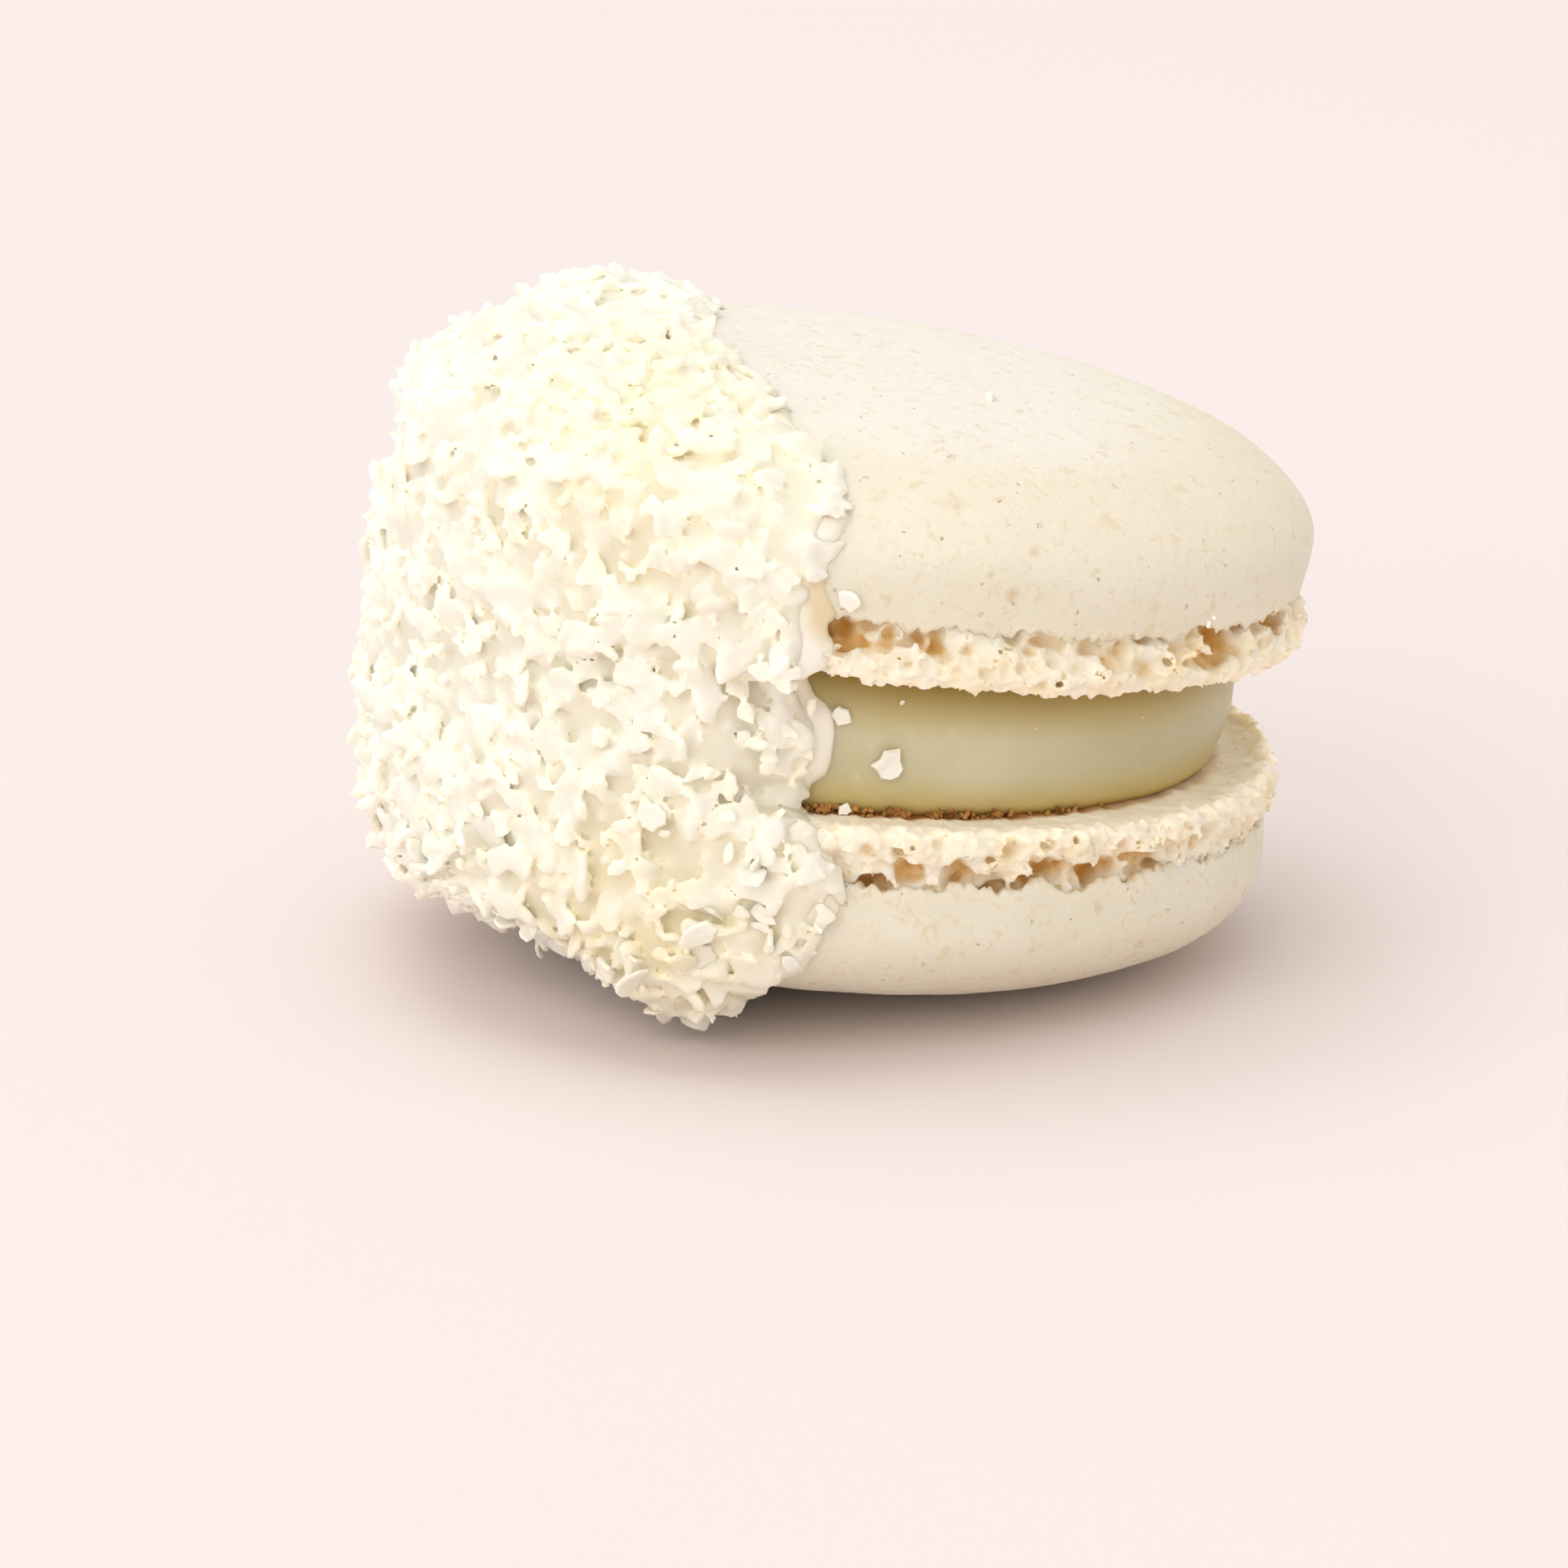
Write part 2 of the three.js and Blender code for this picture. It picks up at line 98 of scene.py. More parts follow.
# Where the dipped end is drawn in from the round: middle, spread and shift.
HOLLOWS = [
    ((-24.8, -15.5, 4.2), 5.0, (0.7, 0.55, 0.85)),
    ((-22.5, -19.0, 3.0), 3.5, (0.1, 0.2, 0.5)),
    ((-32.4, -6.0, 9.5), 4.5, (0.8, 0.1, 0.15)),
    ((-32.3, -3.5, 25.3), 3.5, (0.7, 0.0, 0.0)),
]

# Where chocolate shows through the coconut most: middle, spread and how strongly.
CREAMY = [
    ((-18.0, -23.0, 6.5), 8.0, 0.75),
    ((-17.0, -19.5, 27.0), 8.0, 0.65),
    ((-18.0, -8.0, 31.0), 9.0, 0.45),
]

# Where the coat is heaped up: middle, spread and rise.
MOUNDS = [
    ((-21.5, 6.0, 31.0), 3.5, 1.4),
    ((-17.5, -21.0, 2.5), 3.5, 1.1),
    ((-27.5, -1.0, 30.0), 3.0, 0.3),
]

# The box that the coat and its coconut lie in.
COAT_LOW = np.array([-37.5, -30.0, -0.6])
COAT_HIGH = np.array([-4.0, 22.5, 36.0])

# Steps of the grids that feet, coat and coconut are worked out on.
FOOT_STEP = 0.15
COAT_STEP = 0.3
BED_STEP = 0.17

# How many triangles the large pieces keep.
CAP_TRIANGLES = 100000
FOOT_TRIANGLES = 165000
COAT_TRIANGLES = 80000
BED_TRIANGLES = 198000

# The lowest that any piece reaches, just clear of the floor.
FLOOR_GAP = 0.03


class Place:
    """A shell's own frame: its base plane's middle, and its axis, which leans (degrees)."""

    def __init__(self, base, lean_x, lean_y):
        about_x = Matrix.Rotation(math.radians(lean_x), 3, "X")
        about_y = Matrix.Rotation(math.radians(lean_y), 3, "Y")
        self.turn = np.array(about_y @ about_x)
        self.base = np.array(base)

    def world(self, radius, angle, level):
        """World points from their radius, angle and level."""
        local = np.stack([radius * np.cos(angle), radius * np.sin(angle), level + 0 * radius], -1)
        return local @ self.turn.T + self.base

    def local(self, points):
        """Radius, angle and level of world points."""
        x, y, z = np.moveaxis((points - self.base) @ self.turn, -1, 0)
        return np.hypot(x, y), np.arctan2(y, x), z


LOWER = Place((-9.99, -2.7, 11.63), -1.37, 5.26)
UPPER = Place((-8.81, -2.86, 19.42), -0.05, 8.29)
LOWER_HEIGHT = 11.16
UPPER_HEIGHT = 10.75

# ---- Noise, surfaces and meshes ----

_lattice = np.random.default_rng(11)
_order = _lattice.permutation(256)
_order = np.concatenate([_order, _order, _order[:2]]).astype(np.int32)
_slopes = _lattice.normal(size=(256, 3)).astype(np.float32)
_slopes /= np.linalg.norm(_slopes, axis=1, keepdims=True)


def noise(points, size, seed=0.0):
    """Gradient noise of about -0.8 to 0.8, with bumps of the given size."""
    q = (np.asarray(points, np.float32) / size + np.float32(seed * 7.31)).reshape(-1, 3)
    cell = np.floor(q).astype(np.int32)
    f = q - cell
    cell &= 255
    ease = f * f * f * (f * (f * 6 - 15) + 10)
    total = np.zeros(len(q), np.float32)
    for dx in (0, 1):
        hx = _order[cell[:, 0] + dx]
        wx = ease[:, 0] if dx else 1 - ease[:, 0]
        for dy in (0, 1):
            hy = _order[hx + cell[:, 1] + dy]
            wy = wx * (ease[:, 1] if dy else 1 - ease[:, 1])
            for dz in (0, 1):
                slope = _slopes[_order[hy + cell[:, 2] + dz] & 255]
                rise = slope[:, 0] * (f[:, 0] - dx) + slope[:, 1] * (f[:, 1] - dy)
                rise = rise + slope[:, 2] * (f[:, 2] - dz)
                total += wy * (ease[:, 2] if dz else 1 - ease[:, 2]) * rise
    return (1.6 * total).reshape(np.shape(points)[:-1])


def drawn_in(points, amount=1):
    """Points moved by the hollows of the dipped end, or roughly moved back by them for an amount of -1."""
    moved = np.array(points, float)
    for middle, spread, shift in HOLLOWS:
        nearness = np.exp(-((points - np.array(middle)) ** 2).sum(-1) / spread ** 2)
        moved += amount * nearness[..., None] * np.array(shift)
    return moved


def smoothstep(x, low, high):
    """0 below low and 1 above high, with a smooth ramp between."""
    t = np.clip((x - low) / (high - low), 0, 1)
    return t * t * (3 - 2 * t)


def surface_nets(field):
    """Points (in cells) and outward quads of the closed surface round a 3-D field's negative part."""
    inside = field < 0
    corners = [(i, j, k) for i in (0, 1) for j in (0, 1) for k in (0, 1)]
    cells_each_way = np.array(field.shape) - 1
    count = np.zeros(cells_each_way, np.int8)
    for corner in corners:
        count += inside[tuple(slice(a, a + n) for a, n in zip(corner, cells_each_way))]
    active = (count > 0) & (count < len(corners))
    number = np.full(active.shape, -1, np.int64)
    number[active] = np.arange(active.sum())
    cells = np.argwhere(active)
    points = np.zeros((len(cells), 3), np.float32)
    hits = np.zeros(len(cells), np.float32)
    for a in corners:
        for axis in range(3):
            if a[axis]:
                continue
            b = tuple(c + (axis == n) for n, c in enumerate(a))
            va = field[cells[:, 0] + a[0], cells[:, 1] + a[1], cells[:, 2] + a[2]]
            vb = field[cells[:, 0] + b[0], cells[:, 1] + b[1], cells[:, 2] + b[2]]
            cross = (va < 0) != (vb < 0)
            t = va[cross] / (va[cross] - vb[cross])
            points[cross] += np.array(a, np.float32)
            points[cross, axis] += t
            hits[cross] += 1
    points = points / hits[:, None] + cells
    quads = []
    for axis in range(3):
        step, u, v = np.roll(np.eye(3, dtype=int), -axis, 0)
        low = inside[tuple(slice(0, s - d) for s, d in zip(inside.shape, step))]
        high = inside[tuple(slice(d, s) for s, d in zip(inside.shape, step))]
        for outward, crossing in ((1, low & ~high), (-1, high & ~low)):
            g = np.argwhere(crossing)
            clear = ((g > 0) & (g < active.shape)) | (step > 0)
            g = g[clear.all(1)]
            ring = [g, g - u, g - u - v, g - v]
            quads.append(np.stack([number[tuple(corner.T)] for corner in ring[::outward]], 1))
    return points, np.concatenate(quads)


def mesh_piece(name, points, faces, material, slot, replaced=(), smooth=True, **attributes):
    """A Blender mesh from points in millimetres and faces of one size, with per-point numbers."""
    mesh = bpy.data.meshes.new(name)
    faces = np.asarray(faces, np.int32)
    count, sides = faces.shape
    points = np.array(points, np.float32)
    points[:, 2] = np.maximum(points[:, 2], FLOOR_GAP)
    mesh.vertices.add(len(points))
    mesh.vertices.foreach_set("co", (points * MM).ravel())
    mesh.loops.add(faces.size)
    mesh.loops.foreach_set("vertex_index", faces.ravel())
    mesh.polygons.add(count)
    mesh.polygons.foreach_set("loop_start", np.arange(0, faces.size, sides, dtype=np.int32))
    mesh.polygons.foreach_set("loop_total", np.full(count, sides, np.int32))
    mesh.polygons.foreach_set("use_smooth", np.full(count, smooth))
    for key, values in attributes.items():
        layer = mesh.attributes.new(key, "FLOAT", "POINT")
        layer.data.foreach_set("value", np.asarray(values, np.float32))
    mesh.update(calc_edges=True)
    mesh.validate()
    mesh.materials.append(material)
    piece = bpy.data.objects.new(name, mesh)
    bpy.context.collection.objects.link(piece)
    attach(piece, "root")
    for node in replaced:
        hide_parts(node)
    return piece


def thinned(piece, triangles, spare=None):
    """Merges a piece's least needed edges until it has that many triangles, first among spare points."""
    modifier = piece.modifiers.new("thinned", "DECIMATE")
    piece.data.calc_loop_triangles()
    modifier.ratio = triangles / len(piece.data.loop_triangles)
    if spare is not None:
        group = piece.vertex_groups.new(name="spare")
        group.add(np.flatnonzero(spare).tolist(), 1.0, "REPLACE")
        group.add(np.flatnonzero(~spare).tolist(), 0.01, "REPLACE")
        modifier.vertex_group = "spare"
        modifier.vertex_group_factor = 3e-6
    ready = piece.evaluated_get(bpy.context.evaluated_depsgraph_get())
    mesh = bpy.data.meshes.new_from_object(ready)
    piece.modifiers.clear()
    piece.vertex_groups.clear()
    piece.data = mesh


def band(a, count_a, b, count_b):
    """Triangles between two rings of points, the second with as many as the first, half or double."""
    if count_a < count_b:
        return [triangles[:, ::-1] for triangles in band(b, count_b, a, count_a)]
    i = np.arange(count_b)
    j = (i + 1) % count_b
    if count_a == count_b:
        return [np.stack([a + i, a + j, b + j], 1), np.stack([a + i, b + j, b + i], 1)]
    half = a + 2 * i + 1
    return [np.stack([a + 2 * i, half, b + i], 1),
            np.stack([half, a + (2 * i + 2) % count_a, b + j], 1),
            np.stack([half, b + j, b + i], 1)]


def stacked(counts):
    """Triangles through stacked rings of so many points each, closed by two points that come after them."""
    starts = np.cumsum([0, *counts])
    faces = []
    for k in range(len(counts) - 1):
        faces += band(starts[k], counts[k], starts[k + 1], counts[k + 1])
    i = np.arange(counts[0])
    faces.append(np.stack([(i + 1) % counts[0], i, np.full(len(i), starts[-1])], 1))
    i = np.arange(counts[-1])
    j = (i + 1) % counts[-1]
    faces.append(np.stack([np.full(len(i), starts[-1] + 1), starts[-2] + i, starts[-2] + j], 1))
    return np.concatenate(faces)


def lathe(rings, place, side):
    """A closed surface through rings of (radii, angles, levels), from the innermost round to the middle."""
    points = [place.world(radius, angle, side * level) for radius, angle, level in rings]
    faces = stacked([len(p) for p in points])
    for ring in (rings[0], rings[-1]):
        points.append(place.world(np.zeros(1), np.zeros(1), side * np.mean(ring[2], keepdims=True)))
    return np.concatenate(points), faces[:, ::side]


# ---- Materials ----


def rgb(hex_colour):
    """A linear colour from a written sRGB one."""
    parts = [int(hex_colour[k:k + 2], 16) / 255 for k in (0, 2, 4)]
    return tuple(c / 12.92 if c <= 0.04045 else ((c + 0.055) / 1.055) ** 2.4 for c in parts) + (1.0,)


class Look:
    """A material, with short ways to add the nodes that the food's materials share."""

    def __init__(self, name):
        self.material = bpy.data.materials.new(name)
        self.material.use_nodes = True
        self.nodes, self.links = self.material.node_tree.nodes, self.material.node_tree.links
        self.shader = self.nodes["Principled BSDF"]
        self.place = self.nodes.new("ShaderNodeTexCoord").outputs["Object"]

    def finish(self, colour, normal=None):
        """The material, with its colour and normal linked."""
        self.links.new(colour, self.shader.inputs["Base Color"])
        if normal is not None:
            self.links.new(normal, self.shader.inputs["Normal"])
        return self.material

    def matt(self, roughness, specular):
        self.shader.inputs["Roughness"].default_value = roughness
        self.shader.inputs["Specular IOR Level"].default_value = specular

    def soft(self, scatter, radius):
        """Light that enters, scatters over radius (millimetres for red, green, blue) and leaves."""
        self.shader.subsurface_method = "BURLEY"
        self.shader.inputs["Subsurface Weight"].default_value = scatter
        self.shader.inputs["Subsurface Radius"].default_value = radius
        self.shader.inputs["Subsurface Scale"].default_value = MM

    def node(self, kind, inputs, **settings):
        """A new node, its inputs (by name or number) linked to sockets or set to values."""
        node = self.nodes.new("ShaderNode" + kind)
        for name, value in settings.items():
            setattr(node, name, value)
        for key, value in inputs.items():
            if isinstance(value, bpy.types.NodeSocket):
                self.links.new(value, node.inputs[key])
            else:
                node.inputs[key].default_value = value
        return node

    def noise(self, size, detail=3.0, rough=0.55, distort=0.0):
        inputs = {"Vector": self.place, "Scale": 1 / (size * MM), "Detail": detail, "Roughness": rough,
                  "Distortion": distort}
        return self.node("TexNoise", inputs).outputs["Fac"]

    def spots(self, size, largest, share):
        """1 inside scattered spots of up to the largest radius, in a share of the cells of that size."""
        wander = self.node("TexNoise", {"Vector": self.place, "Scale": 1 / (2 * largest * MM)})
        shift = {0: wander.outputs["Color"], 1: (3 * largest * MM,) * 3, 2: self.place}
        shifted = self.node("VectorMath", shift, operation="MULTIPLY_ADD").outputs[0]
        cells = self.node("TexVoronoi", {"Vector": shifted, "Scale": 1 / (size * MM)})
        drawn = self.node("SeparateColor", {0: cells.outputs["Color"]}).outputs[0]
        radius = self.band(drawn, 1 - share, 1, 0, largest / size)
        return self.band(self.math("SUBTRACT", radius, cells.outputs["Distance"]), 0, 0.06)

    def band(self, value, low, high, out_low=0.0, out_high=1.0):
        inputs = {"Value": value, "From Min": low, "From Max": high, "To Min": out_low, "To Max": out_high}
        return self.node("MapRange", inputs, interpolation_type="SMOOTHSTEP").outputs["Result"]

    def math(self, kind, a, b):
        return self.node("Math", {0: a, 1: b}, operation=kind).outputs[0]

    def blend(self, factor, a, b):
        return self.node("Mix", {"Factor": factor, 6: a, 7: b}, data_type="RGBA").outputs[2]

    def attribute(self, name):
        return self.node("Attribute", {}, attribute_name=name).outputs["Fac"]

    def bump(self, height, distance, under=None):
        inputs = {"Height": height, "Strength": 1.0, "Distance": distance * MM}
        if under is not None:
            inputs["Normal"] = under
        return self.node("Bump", inputs).outputs["Normal"]

    def patches(self, size, low, high, colour, other):
        """A colour with patches of another, of that size."""
        return self.blend(self.band(self.noise(size), low, high), rgb(colour), rgb(other))

    def dab(self, under, where, colour, strength=1):
        """A colour laid over another, as far as the number where says, times the strength."""
        if strength != 1:
            where = self.math("MULTIPLY", where, strength)
        return self.blend(where, under, rgb(colour))


def shell_look():
    look = Look("almond_meringue")
    skin = look.patches(6.0, 0.35, 0.7, "ede5d0", "eae1c9")
    # Painted shade: the upper cap's right side, below its crown, is warmer and darker.
    skin = look.dab(skin, look.attribute("warm"), "ecdfc8")
    # Painted highlight: the upper cap's crown is paler towards its left.
    skin = look.dab(skin, look.attribute("pale"), "f0e7da")
    skin = look.dab(skin, look.band(look.noise(0.7, 4.0, 0.6, 1.0), 0.54, 0.7), "dcc590", 0.45)
    skin = look.dab(skin, look.spots(1.9, 0.45, 0.8), "d9bd84", 0.3)
    skin = look.dab(skin, look.spots(0.9, 0.13, 0.6), "b08a52", 0.7)
    skin = look.dab(skin, look.spots(0.7, 0.1, 0.7), "fffaf0", 0.6)
    skin = look.dab(skin, look.attribute("mark"), "c9a468")
    # Painted shade: the inside of the lip, in the narrow gap by the foot, is golden.
    skin = look.dab(skin, look.attribute("torn"), "eccf9c")
    look.soft(0.35, (1.0, 0.85, 0.65))
    look.matt(0.65, 0.45)
    pits = look.math("SUBTRACT", 1.0, look.spots(1.3, 0.17, 0.7))
    return look.finish(skin, look.bump(pits, 0.12, look.bump(look.noise(0.5, 5.0, 0.6), 0.09)))


def foot_look():
    look = Look("macaron_foot_crumb")
    pale = look.patches(1.6, 0.4, 0.65, "f9f2df", "f4e8cc")
    # Painted light: the lower foot's flat top face is lighter.
    pale = look.dab(pale, look.attribute("face"), "fff6e0")
    pores = look.spots(0.55, 0.13, 0.7)
    pale = look.dab(pale, pores, "dfc38c", 0.5)
    # Painted shade: the foot's hollows are yellower and darker, and darker again where deepest.
    hollow_shade = look.patches(0.7, 0.4, 0.6, "ebcd98", "ddb673")
    hollow_shade = look.dab(hollow_shade, look.attribute("deep"), "dba455")
    colour = look.blend(look.attribute("cavity"), pale, hollow_shade)
    # Painted shadow, with some browning: the base face is dark brown in the groove by the cream.
    colour = look.dab(colour, look.attribute("baked"), "a8692a")
    look.soft(0.5, (0.9, 0.65, 0.4))
    look.matt(0.8, 0.25)
    crumb = look.math("MULTIPLY", look.noise(0.3, 5.0, 0.65), look.attribute("side"))
    return look.finish(colour, look.bump(look.math("SUBTRACT", 1.0, pores), 0.07, look.bump(crumb, 0.12)))


def filling_look():
    look = Look("pale_buttercream")
    cream = look.patches(5.0, 0.35, 0.7, "cfc7a6", "c9bf97")
    smear = look.band(look.noise(2.4, 3.0, 0.5, 1.2), 0.56, 0.75)
    cream = look.dab(cream, smear, "e6e0c4", 0.35)
    # Painted shade: the cream's right side is darker.
    cream = look.dab(cream, look.attribute("away"), "b9ae84")
    # Painted shade: the cream is darker yellow near both shells, where it is tucked under them.
    cream = look.dab(cream, look.attribute("rim"), "cfb25a")
    # Painted shadow of the upper shell on the top of the cream.
    cream = look.dab(cream, look.attribute("under"), "856a0c")
    cream = look.dab(cream, look.spots(1.3, 0.1, 0.5), "f7f3e2", 0.7)
    look.soft(0.6, (1.6, 1.3, 0.8))
    look.matt(0.38, 0.4)
    return look.finish(cream, look.bump(look.noise(1.6, 3.0), 0.05))


def chocolate_look():
    look = Look("white_chocolate")
    body = look.patches(3.0, 0.35, 0.7, "fffaf0", "fcf6e8")
    body = look.dab(body, look.attribute("creamy"), "eee2b2")
    # Painted shade, in part: darker yellow at the coat's thin edge, most beside the upper foot.
    body = look.dab(body, look.attribute("thin"), "e4cf9e")
    look.soft(0.4, (0.5, 0.5, 0.45))
    look.matt(0.42, 0.35)
    return look.finish(body, look.bump(look.noise(0.7, 3.0), 0.05))


def coconut_look(name, scatter, radius, roughness, specular):
    """Coconut, white where dry and creamier where soaked in chocolate; on the bed also creamier low on the
    flakes, which is painted shade.
    """
    look = Look(name)
    dry = look.patches(1.4, 0.35, 0.7, "f8f5ea", "f6f1e2")
    soaked_and_shaded = look.blend(look.attribute("creamy"), rgb("ede7d7"), rgb("eaddb0"))
    look.soft(scatter, radius)
    look.matt(roughness, specular)
    return look.finish(look.blend(look.attribute("soaked"), dry, soaked_and_shaded))


def baked_look():
    look = Look("baked_crumb")
    look.matt(0.8, 0.5)
    # Painted shadow, in part: the crumbs' dark brown stands also for the groove's shade.
    return look.finish(look.patches(0.6, 0.35, 0.65, "c08c46", "7d4a14"))


def floor_look():
    look = Look("pale_floor")
    look.matt(0.9, 0.1)
    return look.finish(look.blend(look.noise(90.0), rgb("ebdeda"), rgb("ecdfdb")))


SHELL = shell_look()
FOOT = foot_look()
CREAM = filling_look()
CHOCOLATE = chocolate_look()
COCONUT = coconut_look("soaked_coconut", 0.6, (0.7, 0.7, 0.65), 0.5, 0.25)
LOOSE_COCONUT = coconut_look("loose_coconut", 0.5, (0.3, 0.3, 0.3), 0.55, 0.2)
CRUMB_AND_SHADOW = baked_look()

# ---- The dip ----

_heading = math.radians(DIP_HEADING)
_rise = math.radians(DIP_RISE)
dip_axis = np.array([
    math.cos(_rise) * math.cos(_heading), math.cos(_rise) * math.sin(_heading), math.sin(_rise),
])
dip_front = np.cross([0, 0, 1], dip_axis)
dip_front /= np.linalg.norm(dip_front)
dip_top = -np.cross(dip_front, dip_axis)
dip_middle = LOWER.base + 0.7 * (UPPER.base - LOWER.base) + DIP_START * dip_axis


def dip_depth(points):
    """How deep points lie inside the coated end, negative over the bare half."""
    offset = points - dip_middle
    front, top = offset @ dip_front, offset @ dip_top
    turn = np.degrees(np.arctan2(top, front))
    reach = 0
    for at, far, width in EDGE_LOBES:
        away = (turn - at + 180) % 360 - 180
        reach = reach + far * np.exp(-((away / width) ** 2))
    return offset @ dip_axis + reach * np.minimum(1, np.hypot(front, top) / 8)


# ---- Shells ----


def cap_outline(height, arc):
    """Radius and level of the cap at arc radians, 0 at its widest and a quarter turn at its middle."""
    radius = CAP_RADIUS * np.cos(arc) ** (2 / CAP_SQUARENESS)
    return radius, WIDEST_LEVEL + (height - WIDEST_LEVEL) * np.sin(arc)


# Marks on the skin, in each shell's own frame: x, y, z, radius, depth and stain. A shallow one is a ring.
SKIN_MARKS = {
    "upper_shell": [
        (3.52, -19.49, 8.12, 0.45, 0.07, 0.25), (7.47, -20.53, 6.59, 0.22, 0.2, 0.5),
        (6.69, -21.55, 4.7, 0.28, 0.1, 0.6), (5.53, -21.77, 5.51, 0.15, 0.12, 0.5),
        (7.9, -21.13, 4.64, 0.14, 0.12, 0.5), (16.34, -15.0, 6.9, 0.2, 0.15, 0.4),
    ],
    "lower_shell": [(10.4, -20.0, -6.0, 0.15, 0.1, 0.4), (2.6, -22.3, -5.0, 0.15, 0.1, 0.4)],
}


def cap(name, node, place, side, height, seed):
    """The smooth skin of a shell, down to its torn lip and a little way back inside."""
    fine = 1520
    ring_gap = 0.23
    arcs = np.linspace(0, math.pi / 2, 400)[:-1]
    radii, levels = cap_outline(height, arcs)
    run = np.concatenate([[0], np.cumsum(np.hypot(np.diff(radii), np.diff(levels)))])
    spaced = np.interp(np.arange(0, run[-1] - 0.5, ring_gap), run, arcs)
    rings = []

    def add(count, radius, level, lift=0.0):
        angle = np.arange(count) * 2 * math.pi / count
        flat = place.world(np.full(count, radius), angle, side * np.full(count, LIP_LEVEL))
        tooth = 0.45 * noise(flat, 1.9, seed) + 0.6 * (0.25 - np.abs(noise(flat, 0.9, seed + 1)))
        tooth += 0.5 * (0.2 - np.abs(noise(flat, 0.45, seed + 2)))
        rings.append((np.full(count, float(radius)) + 0.2 * lift * tooth, angle, level + lift * tooth))

    # Inside the shell and round its lip: points round, radius, level and how ragged.
    for count, radius, level, lift in (
        (fine // 8, 8, 3.6, 0),
        (fine // 4, 17, 3.6, 0),
        (fine // 2, 20.4, 3.6, 0),
        (fine, 21.5, 3.3, 0),
        (fine, 21.75, LIP_LEVEL + 0.3, 0.8),
        (fine, 22.0, LIP_LEVEL, 1),
        (fine, 22.2, LIP_LEVEL - 0.06, 1),
        (fine, LIP_RADIUS, LIP_LEVEL + 0.06, 1),
    ):
        add(count, radius, level, lift)
    for t in (*np.linspace(0.1, 0.55, 6), *np.linspace(0.65, 0.95, 4)):
        radius = LIP_RADIUS + (CAP_RADIUS - LIP_RADIUS) * math.sin(t * math.pi / 2)
        level = LIP_LEVEL + 0.1 + (WIDEST_LEVEL - LIP_LEVEL - 0.1) * t
        add(fine if t < 0.6 else fine // 2, radius, level, max(0, 1 - t / 0.6) ** 2)
    for arc in spaced:
        radius, level = cap_outline(height, arc)
        add(fine // 2 if radius > 13 else fine // 4 if radius > 6 else fine // 8, radius, level)
    points, faces = lathe(rings, place, side)
    radius, angle, level = place.local(points)
    # Painted shade inside the lip, where it meets the foot.
    torn = (1 - smoothstep(radius, 21.9, 22.25)) * (1 - smoothstep(side * level, 3.65, 3.8))
    outer = smoothstep(side * level, LIP_LEVEL - 0.2, LIP_LEVEL + 1.2)
    outward = place.world(radius * 0 + 1, angle, 0 * radius) - place.base
    rise = smoothstep(side * level, WIDEST_LEVEL, height)
    direction = outward * (1 - 0.85 * rise)[:, None] + side * place.turn[:, 2] * rise[:, None]
    swell = 0.14 * noise(points, 9, seed) + 0.05 * noise(points, 3, seed + 2)
    swell = swell + 0.015 * noise(points, 0.8, seed + 3)
    mark = np.zeros(len(points))
    for x, y, z, size, dent, stain in SKIN_MARKS[node]:
        away = np.linalg.norm(points - (place.base + place.turn @ [x, y, z]), axis=1) / size
        swell -= dent * np.exp(-((away - (dent < 0.1)) * 1.6) ** 2)
        mark = np.maximum(mark, stain * np.exp(-away ** 2))
    crown = smoothstep(side * level, 8.8, 10.2)
    # Painted highlight on the upper cap's crown, fading out to the right.
    pale = (side > 0) * crown * (1 - smoothstep(points[:, 0], 0, 10))
    # Painted warm shade on the upper cap's right side, below the crown.
    warm = (side > 0) * smoothstep(level, 5.5, 7.5) * (1 - crown) * smoothstep(points[:, 0], -14, 4)
    points = drawn_in(points + direction * (outer * swell)[:, None])
    piece = mesh_piece(name, points, faces, SHELL, "shell", [node],
                       pale=pale, warm=warm, mark=mark, torn=torn)
    thinned(piece, CAP_TRIANGLES)


# The outside of a foot as (level, radius).
FOOT_OUTLINE = np.array([
    (-0.4, 22.3), (0.0, 22.5), (0.35, 22.75), (0.9, 22.85), (1.5, 22.7), (2.0, 22.35), (2.4, 22.15),
    (2.8, 22.05), (3.6, 21.9),
])

# Large burst bubbles of each foot: turn (degrees), level, radius, how much longer than tall, slant.
UPPER_POCKETS = [
    (-90, 2.4, 0.6, 2.6, 0.1), (-79.5, 1.5, 0.42, 1.3, 0.6), (-70.5, 1.2, 0.32, 1.2, 0.3),
    (-67, 2.4, 0.4, 2.4, 0), (-61, 2.2, 0.42, 2.2, 0), (-53, 1.5, 0.34, 1.1, 0.9),
    (-43.8, 2.0, 0.35, 1.4, 1.0), (-37, 1.6, 0.62, 1.4, 0.5), (-30.8, 2.0, 0.35, 1.3, 0.5),
    (-23.8, 1.9, 0.3, 1.6, 1.2),
]
LOWER_POCKETS = [
    (-89, 1.5, 0.36, 1.4, 0), (-81.5, 1.2, 0.36, 1.5, 0.4), (-56, 2.3, 0.5, 2.2, 0.1),
    (-44, 1.45, 0.3, 1.9, -0.8), (-34.5, 1.4, 0.33, 2.0, -0.7), (-44.5, 2.3, 0.2, 1.3, 0),
    (-50.3, 2.5, 0.22, 1.4, 0), (-23.2, 2.2, 0.25, 1.6, 0), (-74, 1.2, 0.3, 1.5, -0.3),
]


